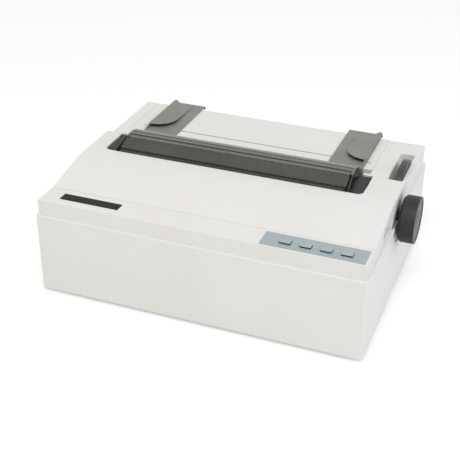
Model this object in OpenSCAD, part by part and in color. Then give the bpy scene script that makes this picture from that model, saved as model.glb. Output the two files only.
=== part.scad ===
// Narrow-carriage dot matrix printer, built as separate pieces.
// X runs across the printer, Y from the front to the back, Z up from the desk.
// The pieces are drawn from the front face and the lower case's bottom edge.
// place() then moves the origin to the desk, in the middle of the whole printer's outline.

/* [Lower case] */
// Width of the case
case_w = 415; // [412:1:440]
// Depth of the case
case_d = 322; // [320:1:340]
// Height of the lower case, up to its ledge
lower_h = 103.5; // [98:0.5:110]
// Wall thickness of both cases
wall = 3; // [2:0.5:4]
// Corner radius of the lower case
case_r = 4; // [2:0.5:8]
// Height of each rubber foot
foot_h = 4; // [3:0.5:8]
// Radius of each rubber foot
foot_r = 9; // [6:0.5:12]
// Radius of the screws that hold the cases together
screw_r = 1.95; // [1.5:0.05:2.5]

/* [Upper case] */
// How far the upper parts stand in from the lower case
inset = 3.4; // [2:0.2:5]
// Depth of the front strip that carries the control panel
strip_d = 36.6; // [34:0.2:40]
// Height of the front strip above the ledge
strip_h = 20; // [18:0.5:22]
// Height of the rear deck above the ledge
deck_h = 26.3; // [25:0.1:28]
// Height of the shelf under the fanfold paper entry, above the ledge
entry_h = 8.5; // [4:0.5:10]

/* [Front cover] */
// Height of the flat top above the ledge
cover_h = 33.5; // [32:0.5:36]
// Thickness of the cover
cover_t = 2.6; // [2:0.2:3]
// Distance from the front face to the bend in the cover
bend_y = 111; // [100:1:120]
// Distance from the front face to the rear bend in the cover
fall_y = 190; // [188:0.5:191]
// Distance from the front face to the cover's rear edge
cover_end_y = 203.5; // [203:0.1:204]
// Radius of the hinge pins
hinge_r = 2.5; // [1.5:0.1:3]
// Depth of the finger recess in each side
grip_depth = 5; // [3:0.5:5]

/* [Smoked hood] */
// Left end of the hood's opening, from the middle
slot_left = 182; // [176:1:184]
// Right end of the hood's opening, from the middle
slot_right = 163.5; // [160:0.5:165]
// Distance from the front face to the front of the opening
slot_y = 137.5; // [134:0.5:140]
// Radius of the opening's front corners
slot_r = 8; // [4:0.5:12]
// Length of each flat end wing
wing_w = 16.5; // [12:0.5:20]
// Height of the hood's ridge above the cover
ridge_h = 12; // [8:0.5:13]
// Wall thickness of the hood
hood_t = 2; // [1.5:0.1:2.5]

/* [Sheet table] */
// Left edge of the table, from the middle
table_left = 181; // [176:1:182]
// Right edge of the table, from the middle
table_right = 155.5; // [150:0.5:158]
// Distance from the front face to the table's front edge
table_y = 221; // [219:0.5:222]
// Thickness of the table
table_t = 3; // [2:0.5:4]
// Radius of the table's hinge pins
table_pin_r = 1.4; // [1:0.1:1.5]
// Width of each sheet guide
guide_w = 46.5; // [40:0.5:50]
// Height of a guide's raised flap above the table
flap_h = 7; // [6:0.5:9]

/* [Control panel] */
// Width of the panel
panel_w = 122.6; // [115:0.2:124]
// Depth of the panel
panel_d = 29; // [26:0.5:30]
// Width of the plain badge plate
badge_w = 77.5; // [60:0.5:80]
// Depth of the badge plate
badge_d = 14; // [10:0.5:18]
// Thickness of the panel and of the badge plate
panel_t = 0.6; // [0.4:0.1:1]
// Width of a button
button_w = 13.4; // [10:0.2:15]
// Depth of a button
button_d = 8.4; // [7:0.2:10]
// Distance from one button to the next
button_pitch = 24; // [20:0.5:24.5]
// How far a button stands out of the panel
button_rise = 1.6; // [1.2:0.1:2.5]
// How far a button travels
button_travel = 1; // [0.6:0.1:1.2]

/* [Platen] */
// Radius of the rubber roller
platen_r = 19; // [17:0.5:19.5]
// Radius of the platen shaft
shaft_r = 5; // [3:0.5:6]
// Distance from the front face to the platen's axis
platen_y = 160.4; // [159:0.2:162]
// Radius of the knob
knob_r = 29.3; // [26:0.1:30]
// Width of the knob
knob_w = 19; // [14:0.5:24]
// Play between the knob and its pocket
knob_play = 1.7; // [1.5:0.1:2]
// Radius of the pressure rollers under the platen
pressure_r = 6; // [5:0.5:6.5]

/* [Paper lever] */
// Width of the lever's grip
lever_w = 13; // [10:0.5:13]
// Length of the grip at the deck
lever_l = 57; // [45:1:58]
// How far the grip stands above the deck
lever_rise = 10; // [6:0.5:14]
// Height of the lever's pivot above the lower edge of the case
lever_pivot_z = 58; // [54:1:62]

/* [Carriage] */
// Radius of the carriage shaft
guide_shaft_r = 6; // [4:0.5:6.5]
// Distance from the front face to the carriage shaft
guide_shaft_y = 106; // [104:0.5:107]
// Height of the carriage shaft above the lower edge of the case
guide_shaft_z = 70; // [69:0.5:71]
// Width of the carriage
carriage_w = 60; // [44:1:64]
// Radius of the print head's body
head_r = 20; // [15:0.5:21]
// Gap between the print head's nose and the platen, ribbon and paper included
head_gap = 1; // [0.9:0.05:1.4]
// Rest position of the carriage, from the left side frame
carriage_rest = 71.5; // [70:0.5:80]
// Radius of the belt pulleys
pulley_r = 6; // [5:0.5:6.5]

/* [Ribbon] */
// Height of the cartridge body
cartridge_h = 17; // [14:0.5:18]
// Depth of the cartridge body
cartridge_d = 42; // [34:1:44]
// Height of the ribbon
ribbon_h = 13; // [8:1:13]

/* [Gears] */
// Tooth size of every gear: pitch diameter over teeth
gear_module = 1; // [0.95:0.05:1]
// Teeth of the platen gear
platen_teeth = 48; // [44:1:48]
// Teeth of the idler between platen and tractors
idler_teeth = 32; // [30:1:32]
// Teeth of the tractor gear
tractor_teeth = 41; // [38:1:41]
// Teeth of the reduction gear's small wheel
small_teeth = 16; // [15:1:18]
// Teeth of the reduction gear's large wheel
large_teeth = 42; // [38:1:42]
// Teeth of the motor pinion
pinion_teeth = 12; // [12:1:13]
// Width of the gears
gear_w = 5; // [4:0.5:5.5]

/* [Tractors] */
// Radius of the circle on which the paper lies on a pin wheel
pin_wheel_r = 16.17; // [15.5:0.01:16.3]
// Pins on a pin wheel
pin_count = 8; // [6:1:10]
// Distance between the two lines of paper holes
paper_hole_w = 241; // [200:1:245]
// Width across the flats of the square tractor shaft
square_w = 7; // [6:0.5:8]
// Radius of the tractor guide rod
rod_r = 4; // [3:0.5:4.5]

/* [Frame and boards] */
// Thickness of the frame's steel plates
plate_t = 1.5; // [1:0.1:2]
// Radius of the two motors
motor_r = 21; // [18:0.5:21.5]
// Thickness of the circuit boards
board_t = 1.6; // [1:0.1:2]
// Width of the transformer
transformer_w = 56; // [45:1:60]

/* [Fits] */
// Play of a running shaft in its bore, on the radius
run_play = 0.05; // [0.02:0.01:0.1]
// Gap between pieces that slide or swing past each other
gap = 0.4; // [0.3:0.05:0.5]

/* [Hidden] */
$fn = 64;

half_w = case_w / 2;
upper_half = half_w - inset;
upper_in = upper_half - wall;
upper_y0 = inset;
upper_y1 = case_d - inset;
ledge_z = lower_h;
strip_y1 = upper_y0 + strip_d;
strip_z = ledge_z + strip_h;
deck_z = ledge_z + deck_h;
cover_z = ledge_z + cover_h;
entry_z = ledge_z + entry_h;

// Ledge inside the lower case's top edge, which carries the upper case
rim_h = 8;
rim_in = upper_in - 0.6;

// Front cover
hinge_y = cover_end_y - 10.5;
hinge_z = cover_z - 11;
cover_y0 = strip_y1 + gap;
cover_low = ledge_z + gap;
rise_per_mm = (cover_z - strip_z) / (bend_y - cover_y0);
deck_y0 = cover_end_y + 1.1;
rail_out = upper_half - 8.1;
rail_in = rail_out - wall;
ear_r = hinge_r + 2.5;
grip_y0 = 82;
grip_y1 = 127;
grip_top = 23;
skirt_z = cover_z - 9;

// Hood
hood_x0 = -slot_left + wing_w;
hood_x1 = slot_right - wing_w;
hood_y0 = slot_y + 2 * gap;
crease_y = hood_y0 + 25.7;
crease_z = cover_z + ridge_h - 1.5;
ridge_y = fall_y - 9;
ridge_z = cover_z + ridge_h;
hood_end_y = fall_y + 2.5;
hood_end_z = ridge_z - 3;
wing_z = cover_z - 0.8;
hood_pin_y = fall_y - 5;
hood_pin_z = wing_z - hood_t + 0.4;
hood_pin_r = 1.5;
hood_lean = 3.3;

// Sheet table
table_z = deck_z + 0.2;
table_x0 = -table_left;
table_x1 = table_right;
table_y1 = case_d - wall;
table_pin_y = table_y + 1;
table_pin_z = table_z - table_t - 6;
rebate_w = 6.5;
rebate_t = 0.8;
table_groove_y = table_y + 19;

// Sheet guides
guide_l_x0 = table_x0 + 16;
guide_r_x0 = table_x1 - guide_w - 12;
guide_y0 = table_y - 3;
guide_end_y = table_y1 + 12;
guide_t = 1.8;
guide_z = table_z + 0.1;
tongue_y0 = table_y + 13;
tongue_z = table_z + flap_h;
tongue_w = guide_w - 15.5;
tongue_r = 28;

// Platen
platen_z = ledge_z;
pocket_r = knob_r + knob_play;
pocket_x = rail_out;
knob_x0 = half_w + 3;
knob_x1 = knob_x0 + knob_w;

// Frame
frame_l = -half_w + 18;
frame_r = half_w - 31.5;
frame_y0 = 48;
frame_y1 = case_d - 54;
frame_top = ledge_z - 5;
platen_x0 = frame_l + 5.5;
platen_x1 = frame_r - 6;
base_z = 20;
floor_top = base_z + plate_t;
gear_x0 = frame_r + plate_t + 2.5;
gear_x1 = gear_x0 + gear_w + 1.5;

// Gear train, all axes along X
function pitch_r(teeth) = teeth * gear_module / 2;
function step_from(point, dist, angle) = [point[0] + dist * cos(angle), point[1] + dist * sin(angle)];
platen_at = [platen_y, platen_z];
idler_angle = -22;
idler_at = step_from(platen_at, pitch_r(platen_teeth) + pitch_r(idler_teeth), idler_angle);
tractor_at = step_from(idler_at, pitch_r(idler_teeth) + pitch_r(tractor_teeth), 0);
reduction_angle = 262;
reduction_at = step_from(platen_at, pitch_r(platen_teeth) + pitch_r(small_teeth), reduction_angle);
motor_angle = 265;
motor_at = step_from(reduction_at, pitch_r(large_teeth) + pitch_r(pinion_teeth), motor_angle);
stud_r = 2.5;

// A meshing wheel is turned so that a gap faces the tooth that the other wheel has on the line of centres.
function mesh_turn(teeth, angle, other_teeth, other_turn) =
    angle + 180 + 180 / teeth + (angle - other_turn) * other_teeth / teeth;
idler_turn = mesh_turn(idler_teeth, idler_angle, platen_teeth, 0);
tractor_turn = mesh_turn(tractor_teeth, 0, idler_teeth, idler_turn);
small_turn = mesh_turn(small_teeth, reduction_angle, platen_teeth, 0);
pinion_turn = mesh_turn(pinion_teeth, motor_angle, large_teeth, 0);

// Pressure rollers
pressure_at = step_from(platen_at, platen_r + pressure_r + 0.3, 300);
pressure_shaft_r = 2.5;
pressure_len = 22;
pressure_xs = [for (i = [0 : 3]) platen_x0 + 44 + i * 85];
chute_r = platen_r + 1.6;

// Tractors
rod_at = [tractor_at[0] + 24, tractor_at[1] - 8.4];
tractor_mid = (platen_x0 + platen_x1) / 2;
tractor_xl = tractor_mid - paper_hole_w / 2;
tractor_xr = tractor_mid + paper_hole_w / 2;
wheel_w = 9;
cheek_in = wheel_w / 2 + 0.5;
cheek_out = cheek_in + 3;
wheel_hub_r = square_w * 0.72 + 2.5;
pin_h = 2.2;
door_z = tractor_at[1] + pin_wheel_r + pin_h + 0.4;
door_y0 = tractor_at[0] - 6;
door_y1 = tractor_at[0] + 15;
door_hinge_x = cheek_out + 2;
door_pin_r = 1;

// Paper lever
lever_y0 = deck_y0 + 0.7;
lever_mid_y = lever_y0 + lever_l / 2;
lever_x1 = upper_half - 5.2;
lever_x0 = lever_x1 - lever_w;
lever_slot_y1 = deck_y0 + lever_l + 22;
lever_floor_z = deck_z - 16;
lever_arm_w = 4;
lever_arm_x = lever_x0 + 2;

// Carriage, print head and ribbon
carriage_x = frame_l + carriage_rest;
carriage_y0 = guide_shaft_y - 14;
carriage_y1 = guide_shaft_y + 14;
carriage_z0 = guide_shaft_z - 8;
carriage_z1 = guide_shaft_z + 9;
rail_y = guide_shaft_y - 46;
rail_w = 6;
rail_z = carriage_z0 + 3.8;
nose_y = platen_y - platen_r - head_gap;
head_y0 = guide_shaft_y - 9;
head_y1 = head_y0 + 27;
cartridge_x0 = frame_l + 17.5;
cartridge_x1 = frame_r - 22;
cartridge_y0 = frame_y0;
cartridge_z = frame_top + plate_t;
arm_w = 12;
ribbon_y = nose_y + 0.35;
ribbon_t = 0.3;
ribbon_knob_x = cartridge_x0 + 22;
ribbon_knob_y = cartridge_y0 + 22;
belt_z = guide_shaft_z - 18;
belt_h = 6;
belt_t = 1.4;
belt_y = guide_shaft_y - 18;
drive_x = frame_l + 24.5;
idler_x = frame_r - 26;

// Boards and connectors
board_z = 9;
main_x0 = -60;
main_x1 = half_w - 37.5;
main_y0 = 30;
power_x0 = -82;
power_x1 = 42;
power_y0 = case_d - 58;
main_y1 = power_y0 - 9;
power_y1 = case_d - 10;
inlet_x = -half_w + 36.5;
inlet_z = 34;
inlet_w = 28;
inlet_h = 20;
socket_x = half_w - 87.5;
socket_w = 56;
socket_h = 14;
switch_y = case_d - 37;
switch_z = 66;
switch_l = 21.8;
switch_h = 13.8;
rocker_l = 19;
rocker_w = 10;
rocker_pivot = 4;
rocker_tilt = 14;
screw_x = half_w - 12.5;
screw_ys = [30, case_d - 16];
screw_head_z = 85;
frame_screws = [[frame_l + 19.5, 128], [frame_l + 19.5, frame_y1 - 18],
    [frame_r - 51, 76], [frame_r - 36, frame_y1 - 18]];
panel_x1 = upper_half - 3.5;
panel_x0 = panel_x1 - panel_w;
panel_y0 = upper_y0 + 2.6;
badge_x0 = -upper_half + 23.1;
badge_y0 = upper_y0 + 12.6;
button_x0 = panel_x0 + 21;
button_y0 = panel_y0 + 8.3;
panel_board_z = ledge_z + 4;
button_flange_z = strip_z - wall - 0.3;

// The origin: the middle of the outline, on the desk
origin_x = (knob_x1 - half_w) / 2;
origin_y = guide_end_y / 2;

module place() {
    translate([-origin_x, -origin_y, foot_h]) children();
}

module block(x0, x1, y0, y1, z0, z1) {
    translate([x0, y0, z0]) cube([x1 - x0, y1 - y0, z1 - z0]);
}

// A profile of [y, z] points, drawn out along X
module along_x(x0, x1) {
    translate([x0, 0, 0]) rotate([90, 0, 90]) linear_extrude(x1 - x0) children();
}

// A profile of [x, z] points, drawn out along Y
module along_y(y0, y1) {
    translate([0, y1, 0]) rotate([90, 0, 0]) linear_extrude(y1 - y0) children();
}

// A round bar along X, whose axis is at [y, z]
module rod_x(r, x0, x1, at) {
    translate([x0, at[0], at[1]]) rotate([0, 90, 0]) cylinder(r = r, h = x1 - x0);
}

module rod_y(r, y0, y1, x, z) {
    translate([x, y1, z]) rotate([90, 0, 0]) cylinder(r = r, h = y1 - y0);
}

module post(r, x, y, z0, z1) {
    translate([x, y, z0]) cylinder(r = r, h = z1 - z0);
}

// A rectangle with round corners
module round_rect(x0, x1, y0, y1, r) {
    translate([x0 + r, y0]) square([x1 - x0 - 2 * r, y1 - y0]);
    translate([x0, y0 + r]) square([x1 - x0, y1 - y0 - 2 * r]);
    for (x = [x0 + r, x1 - r], y = [y0 + r, y1 - r]) translate([x, y]) circle(r = r);
}

// One tooth narrows from the root to the tip. Each point of a flank is a radius and half the tooth's width
// there, as a share of the pitch.
function tooth_flank(r) =
    [[r - 1.25 * gear_module, 0.27], [r - 0.1 * gear_module, 0.21], [r + 0.85 * gear_module, 0.09]];
function tooth(teeth, i, turn) =
    let (r = pitch_r(teeth), a = i * 360 / teeth + turn, p = 360 / teeth)
    [for (c = tooth_flank(r)) [c[0] * cos(a - c[1] * p), c[0] * sin(a - c[1] * p)]];
function tooth_back(teeth, i, turn) =
    let (r = pitch_r(teeth), a = i * 360 / teeth + turn, p = 360 / teeth)
    [for (i = [2, 1, 0]) let (c = tooth_flank(r)[i]) [c[0] * cos(a + c[1] * p), c[0] * sin(a + c[1] * p)]];

module gear(teeth, turn, bore, x0, x1, at) {
    translate([0, at[0], at[1]]) along_x(x0, x1) difference() {
        polygon([for (i = [0 : teeth - 1]) each concat(tooth(teeth, i, turn), tooth_back(teeth, i, turn))]);
        circle(r = bore);
    }
}

module lower_case() {
    color("#DDDED8") difference() {
        union() {
            difference() {
                linear_extrude(lower_h) round_rect(-half_w, half_w, 0, case_d, case_r);
                translate([0, 0, wall]) linear_extrude(lower_h - wall - rim_h)
                    round_rect(-half_w + wall, half_w - wall, wall, case_d - wall, case_r - 1);
                block(-rim_in, rim_in, case_d - upper_y1 + wall, upper_y1 - wall, wall, lower_h + 1);
            }
            intersection() {
                rod_x(pocket_r + wall, pocket_x - wall, half_w - wall / 2, platen_at);
                block(pocket_x - wall, half_w, 0, case_d, wall, lower_h);
            }
            for (side = [-1, 1], y = screw_ys) post(6, side * screw_x, y, wall / 2, lower_h);
            for (p = frame_screws) post(6, p[0], p[1], wall / 2, base_z);
            for (p = board_posts()) post(4, p[0], p[1], wall / 2, board_z);
        }
        rod_x(pocket_r, pocket_x, half_w + 1, platen_at);
        rod_x(shaft_r + 5, pocket_x - wall - 1, pocket_x + 1, platen_at);
        for (side = [-1, 1], y = screw_ys) {
            post(screw_r + 0.15, side * screw_x, y, -1, lower_h + 1);
            post(4.2, side * screw_x, y, -1, screw_head_z);
        }
        for (p = frame_screws) post(screw_r, p[0], p[1], 8, base_z + 1);
        block(inlet_x - inlet_w / 2, inlet_x + inlet_w / 2, case_d - wall - 1, case_d + 1,
            inlet_z - inlet_h / 2, inlet_z + inlet_h / 2);
        block(socket_x - socket_w / 2, socket_x + socket_w / 2, case_d - wall - 1, case_d + 1,
            board_z + board_t, board_z + board_t + socket_h);
        block(-half_w - 1, -half_w + wall + 1, switch_y - switch_l / 2 - 0.1, switch_y + switch_l / 2 + 0.1,
            switch_z - switch_h / 2 - 0.1, switch_z + switch_h / 2 + 0.1);
        // Vents in the back
        for (i = [0 : 11]) block(-90 + i * 12, -84 + i * 12, case_d - wall - 1, case_d + 1, 48, 78);
    }
}

// Posts for the main board and the power board
function board_posts() = concat(
    [for (x = [main_x0 + 10, main_x1 - 10], y = [main_y0 + 10, main_y1 - 10]) [x, y]],
    [for (x = [power_x0 + 8, power_x1 - 8], y = [power_y0 + 8, power_y1 - 8]) [x, y]]);

module deck_profile(z1) {
    polygon([[deck_y0, z1], [deck_y0, hinge_z - 6], [deck_y0 - 10.2, ledge_z], [upper_y1, ledge_z],
        [upper_y1, z1]]);
}

module upper_case() {
    well_x0 = table_x0 - 0.5;
    well_x1 = table_x1 + 0.5;
    color("#E6E4E0") difference() {
        union() {
            // Front strip
            difference() {
                block(-upper_half, upper_half, upper_y0, strip_y1, ledge_z, strip_z);
                block(-upper_in, upper_in, upper_y0 + wall, strip_y1 - wall, ledge_z - 1, strip_z - wall);
            }
            // Rear deck
            difference() {
                along_x(-upper_half, upper_half) deck_profile(deck_z);
                block(-upper_in, upper_in, deck_y0 - 20, upper_y1 - wall, ledge_z - 1, deck_z - wall);
                block(well_x0, well_x1, deck_y0 - 20, upper_y1 + 1, entry_z, deck_z + 1);
                block(well_x0 - rebate_w, well_x1 + rebate_w, deck_y0 + 14, upper_y1 + 1, deck_z - rebate_t,
                    deck_z + 1);
            }
            block(-upper_in, well_x0 - wall, deck_y0, deck_y0 + wall, entry_z, deck_z - wall / 2);
            block(well_x1 + wall, upper_in, deck_y0, deck_y0 + wall, entry_z, deck_z - wall / 2);
            // Cheeks beside the table, which carry its pins, and the ledges that it lies on
            for (x = [well_x0 - wall, well_x1])
                block(x, x + wall, deck_y0 + 0.01, upper_y1, entry_z, deck_z - rebate_t);
            for (x = [well_x0 - 1, well_x1 - 4])
                block(x, x + 5, table_y + 21, upper_y1, table_z - table_t - 3, table_z - table_t);
            // Rails under the cover
            for (side = [-1, 1]) {
                x0 = side > 0 ? rail_in : -rail_out;
                block(x0, x0 + wall, strip_y1 - 1, deck_y0 + 1, ledge_z, hinge_z - 10);
                block(x0, x0 + wall, hinge_y - ear_r, hinge_y + ear_r - 0.5, ledge_z, hinge_z);
                rod_x(ear_r, x0, x0 + wall, [hinge_y, hinge_z]);
            }
            // Inner wall of the knob's pocket
            intersection() {
                rod_x(pocket_r + wall, rail_in, rail_out, platen_at);
                block(rail_in, rail_out, upper_y0, hinge_y, ledge_z, cover_z - cover_t - 1);
            }
            // Funnel around the paper lever
            block(lever_x0 - 12, upper_in + 0.5, deck_y0 + 0.01, lever_slot_y1 + wall, lever_floor_z,
                deck_z - 1);
            // Posts for the case screws and for the panel board
            for (side = [-1, 1], y = screw_ys) post(5, side * screw_x, y, ledge_z, strip_z - wall / 2);
            for (x = [panel_x0 + 10, panel_x1 - 20])
                post(3, x, panel_y0 + 24, panel_board_z + board_t, strip_z - wall / 2);
        }
        along_y(deck_y0 - 10, lever_slot_y1) polygon([[lever_x0 - 7, deck_z + 1],
            [lever_x0 - 0.9, lever_floor_z - 1], [lever_x1 + 0.7, lever_floor_z - 1],
            [lever_x1 + 0.7, deck_z + 1]]);
        rod_x(shaft_r + 5, rail_in - 1, rail_out + 1, platen_at);
        for (side = [-1, 1], y = screw_ys)
            post(screw_r + run_play, side * screw_x, y, ledge_z - 1, ledge_z + 10);
        rod_x(hinge_r + run_play, -upper_half, upper_half, [hinge_y, hinge_z]);
        rod_x(table_pin_r + run_play, well_x0 - wall - 1, well_x1 + wall + 1, [table_pin_y, table_pin_z]);
        for (i = [0 : 3]) {
            x = button_x0 + i * button_pitch;
            block(x - gap / 2, x + button_w + gap / 2, button_y0 - gap / 2, button_y0 + button_d + gap / 2,
                strip_z - wall - 1, strip_z + 1);
            post(lens_r(), x, lens_y(), strip_z - wall - 1, strip_z + 1);
        }
    }
}

function lens_r() = 1.2;
function lens_y() = button_y0 + button_d + 4.5;

module cover_outline() {
    polygon([[cover_y0, cover_low], [cover_y0, strip_z], [bend_y, cover_z], [fall_y, cover_z],
        [cover_end_y, deck_z], [cover_end_y, hinge_z - 5], [hinge_y, cover_low]]);
}

module cover_hollow() {
    polygon([[cover_y0 - 1, 0], [cover_y0 - 1, strip_z - cover_t - rise_per_mm],
        [bend_y, cover_z - cover_t], [fall_y - 0.6, cover_z - cover_t],
        [cover_end_y + 1, deck_z - cover_t - 1], [cover_end_y + 1, 0]]);
}

module front_cover() {
    color("#E6E4E0") difference() {
        union() {
            difference() {
                along_x(-upper_half, upper_half) cover_outline();
                along_x(-upper_in, upper_in) cover_hollow();
            }
            for (side = [-1, 1]) {
                x0 = side > 0 ? upper_half - grip_depth - cover_t : -upper_half + 0.5;
                block(x0, x0 + grip_depth + cover_t - 0.5, grip_y0 - cover_t, grip_y1 + cover_t, cover_low,
                    ledge_z + grip_top + cover_t);
                p0 = side > 0 ? rail_in : -upper_in - 0.5;
                rod_x(hinge_r, p0, p0 + upper_in + 0.5 - rail_in, [hinge_y, hinge_z]);
            }
            // Skirt around the hood's opening
            intersection() {
                difference() {
                    translate([0, 0, skirt_z]) linear_extrude(cover_z - skirt_z)
                        round_rect(-slot_left - cover_t, slot_right + cover_t, slot_y - cover_t, 230,
                            slot_r + cover_t);
                    block(-400, 400, hood_pin_y + 6, 400, 0, 400);
                }
                along_x(-upper_half, upper_half) cover_outline();
            }
        }
        linear_extrude(cover_z + 10) round_rect(-slot_left, slot_right, slot_y, 230, slot_r);
        for (side = [-1, 1]) block(side > 0 ? upper_half - grip_depth : -upper_half - 1,
            side > 0 ? upper_half + 1 : -upper_half + grip_depth, grip_y0, grip_y1, 0, ledge_z + grip_top);
        rod_x(pocket_r, rail_out + 1, half_w, platen_at);
        rod_x(hood_pin_r + run_play, -slot_left - cover_t - 1, slot_right + cover_t + 1,
            [hood_pin_y, hood_pin_z]);
    }
}

module hood_profile() {
    polygon([[hood_y0, wing_z], [hood_y0, cover_z + 2.5], [crease_y, crease_z], [ridge_y, ridge_z],
        [hood_end_y, hood_end_z], [hood_end_y, hood_end_z - 4], [hood_end_y - 1, wing_z]]);
}

module hood_hollow() {
    polygon([[hood_y0 + hood_t, 0], [hood_y0 + hood_t, cover_z + 1], [crease_y, crease_z - hood_t],
        [ridge_y, ridge_z - hood_t], [hood_end_y - hood_t, hood_end_z - hood_t + 0.6],
        [hood_end_y - hood_t, hood_end_z - 4], [hood_end_y + 1, hood_end_z - 4], [hood_end_y + 1, 0]]);
}

// The hood's width, whose ends lean in towards the top
module hood_span(inset) {
    along_y(hood_y0 - 1, hood_end_y + 2) polygon([[hood_x0 + inset, 0], [hood_x0 + inset, wing_z],
        [hood_x0 + inset + hood_lean, ridge_z + 1], [hood_x1 - inset - hood_lean, ridge_z + 1],
        [hood_x1 - inset, wing_z], [hood_x1 - inset, 0]]);
}

module acoustic_cover() {
    color("#56574F", 0.75) union() {
        difference() {
            intersection() {
                along_x(hood_x0, hood_x1) hood_profile();
                hood_span(0);
            }
            intersection() {
                along_x(hood_x0, hood_x1) hood_hollow();
                hood_span(hood_t);
            }
        }
        for (side = [-1, 1]) {
            x0 = side > 0 ? hood_x1 - 0.5 : -slot_left + 2 * gap;
            intersection() {
                block(x0, x0 + wing_w - 2 * gap + 0.5, hood_y0, hood_pin_y + 3, wing_z - hood_t, wing_z);
                translate([0, 0, wing_z - hood_t - 1]) linear_extrude(hood_t + 2)
                    round_rect(-slot_left + 2 * gap, slot_right - 2 * gap, hood_y0, 230, slot_r - 2 * gap);
            }
            p0 = side > 0 ? slot_right - 2 * gap - 0.5 : -slot_left - cover_t + 0.4;
            rod_x(hood_pin_r, p0, p0 + cover_t + 2 * gap + 0.1, [hood_pin_y, hood_pin_z]);
        }
    }
}

module sheet_table() {
    color("#E6E4E0") difference() {
        union() {
            block(table_x0, table_x1, table_y, table_y1, table_z - table_t, table_z);
            block(table_x0, table_x1, table_y, table_y + 2.5, table_pin_z - table_pin_r, table_z - 1);
            for (x = [table_x0 - 2.5, table_x1 - 1])
                rod_x(table_pin_r, x, x + 3.5, [table_pin_y, table_pin_z]);
        }
        block(table_x0 + 6, table_x1 - 6, table_groove_y, table_groove_y + 1.2, table_z - 0.7, table_z + 1);
    }
}

// A guide stands on the table and hooks over its front and rear edges. Its tongue
// holds the sheet's edge, and its wall runs along the outer side.
// Side is 1 where its wall is on the right.
module sheet_guide(x0, side) {
    outer_x = side > 0 ? x0 + guide_w : x0;
    wall_x = side > 0 ? outer_x - 2.5 : outer_x;
    under_z = table_z - table_t;
    bed_z = guide_z + guide_t;
    color("#8A8B84") union() {
        along_x(x0, x0 + guide_w) polygon([[guide_y0, under_z - 10], [guide_y0, bed_z],
            [guide_end_y - 5, bed_z], [guide_end_y, bed_z - 3], [guide_end_y, table_z - 3],
            [guide_end_y - 2, table_z - 4], [guide_end_y - 2, guide_z - 2.2], [guide_end_y - 5.5, guide_z],
            [table_y1 + 3, guide_z], [table_y1 + 3, under_z - 2], [table_y1 - 6, under_z - 2],
            [table_y1 - 6, under_z - gap], [table_y1 + gap, under_z - gap], [table_y1 + gap, guide_z],
            [table_y - gap, guide_z], [table_y - gap, under_z - 8], [table_y + 4, under_z - 8],
            [table_y + 4, under_z - 10]]);
        along_x(wall_x, wall_x + 2.5) polygon([[guide_y0 + 3, guide_z], [guide_y0 + 3, bed_z],
            [tongue_y0 + 7, tongue_z - 0.4], [table_y1 + 5, tongue_z + 0.6], [table_y1 + 9, bed_z],
            [table_y1 + 7, guide_z]]);
        intersection() {
            along_x(x0, x0 + guide_w) polygon([[tongue_y0, tongue_z - guide_t], [tongue_y0, tongue_z],
                [table_y1 + 6, bed_z], [table_y1 + 6, guide_z]]);
            translate([0, 0, table_z]) linear_extrude(flap_h + 1) union() {
                translate([outer_x - side * (tongue_w - tongue_r), tongue_y0 + tongue_r]) circle(r = tongue_r);
                translate([side > 0 ? outer_x - tongue_w : outer_x, tongue_y0 + tongue_r])
                    square([tongue_w, table_y1 + 6 - tongue_y0 - tongue_r]);
            }
        }
    }
}

module sheet_guide_left() {
    sheet_guide(guide_l_x0, -1);
}

module sheet_guide_right() {
    sheet_guide(guide_r_x0, 1);
}

module control_panel() {
    color("#A8B4B8") difference() {
        block(panel_x0, panel_x1, panel_y0, panel_y0 + panel_d, strip_z, strip_z + panel_t);
        for (i = [0 : 3]) {
            x = button_x0 + i * button_pitch;
            block(x - gap / 2, x + button_w + gap / 2, button_y0 - gap / 2, button_y0 + button_d + gap / 2,
                strip_z - 1, strip_z + 2);
            post(lens_r(), x, lens_y(), strip_z - 1, strip_z + 2);
        }
    }
}

module button(i) {
    x = button_x0 + i * button_pitch;
    top = strip_z + panel_t + button_rise;
    stem_z = panel_board_z + board_t + 4.6 + button_travel + 0.1;
    color("#A8B4B8") union() {
        block(x, x + button_w, button_y0, button_y0 + button_d, button_flange_z - 0.5, top);
        block(x - 1.3, x + button_w + 1.3, button_y0 - 1.3, button_y0 + button_d + 1.3,
            button_flange_z - 1.5, button_flange_z);
        post(2, x + button_w / 2, button_y0 + button_d / 2, stem_z, button_flange_z - 1);
    }
}

module button_1() { button(0); }
module button_2() { button(1); }
module button_3() { button(2); }
module button_4() { button(3); }

module indicator_lenses() {
    color("#5E6B45") for (i = [0 : 3])
        post(lens_r(), button_x0 + i * button_pitch, lens_y(), strip_z - wall, strip_z + panel_t + 0.3);
}

module badge_plate() {
    color("#0A0A0A") block(badge_x0, badge_x0 + badge_w, badge_y0, badge_y0 + badge_d,
        strip_z, strip_z + panel_t);
}

module panel_board() {
    color("#2F5D3A") union() {
        block(panel_x0 + 4, panel_x1 - 12, panel_y0 + 2, panel_y0 + panel_d - 2, panel_board_z,
            panel_board_z + board_t);
        for (i = [0 : 3]) {
            x = button_x0 + i * button_pitch + button_w / 2 - 3;
            block(x, x + 6, button_y0 + 1.2, button_y0 + 7.2, panel_board_z + board_t - 0.1,
                panel_board_z + board_t + 4.6);
        }
    }
}

module platen_knob() {
    bevel = 3.5;
    hub_x0 = pocket_x + 1;
    color("#3F433D") translate([0, platen_y, platen_z]) rotate([0, 90, 0]) rotate_extrude()
        polygon([[shaft_r, hub_x0], [11, hub_x0], [11, knob_x0], [knob_r - bevel, knob_x0],
            [knob_r, knob_x0 + bevel], [knob_r, knob_x1 - 1.5], [knob_r - 1.5, knob_x1], [0, knob_x1],
            [0, knob_x1 - 4], [shaft_r, knob_x1 - 4]]);
}

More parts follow.
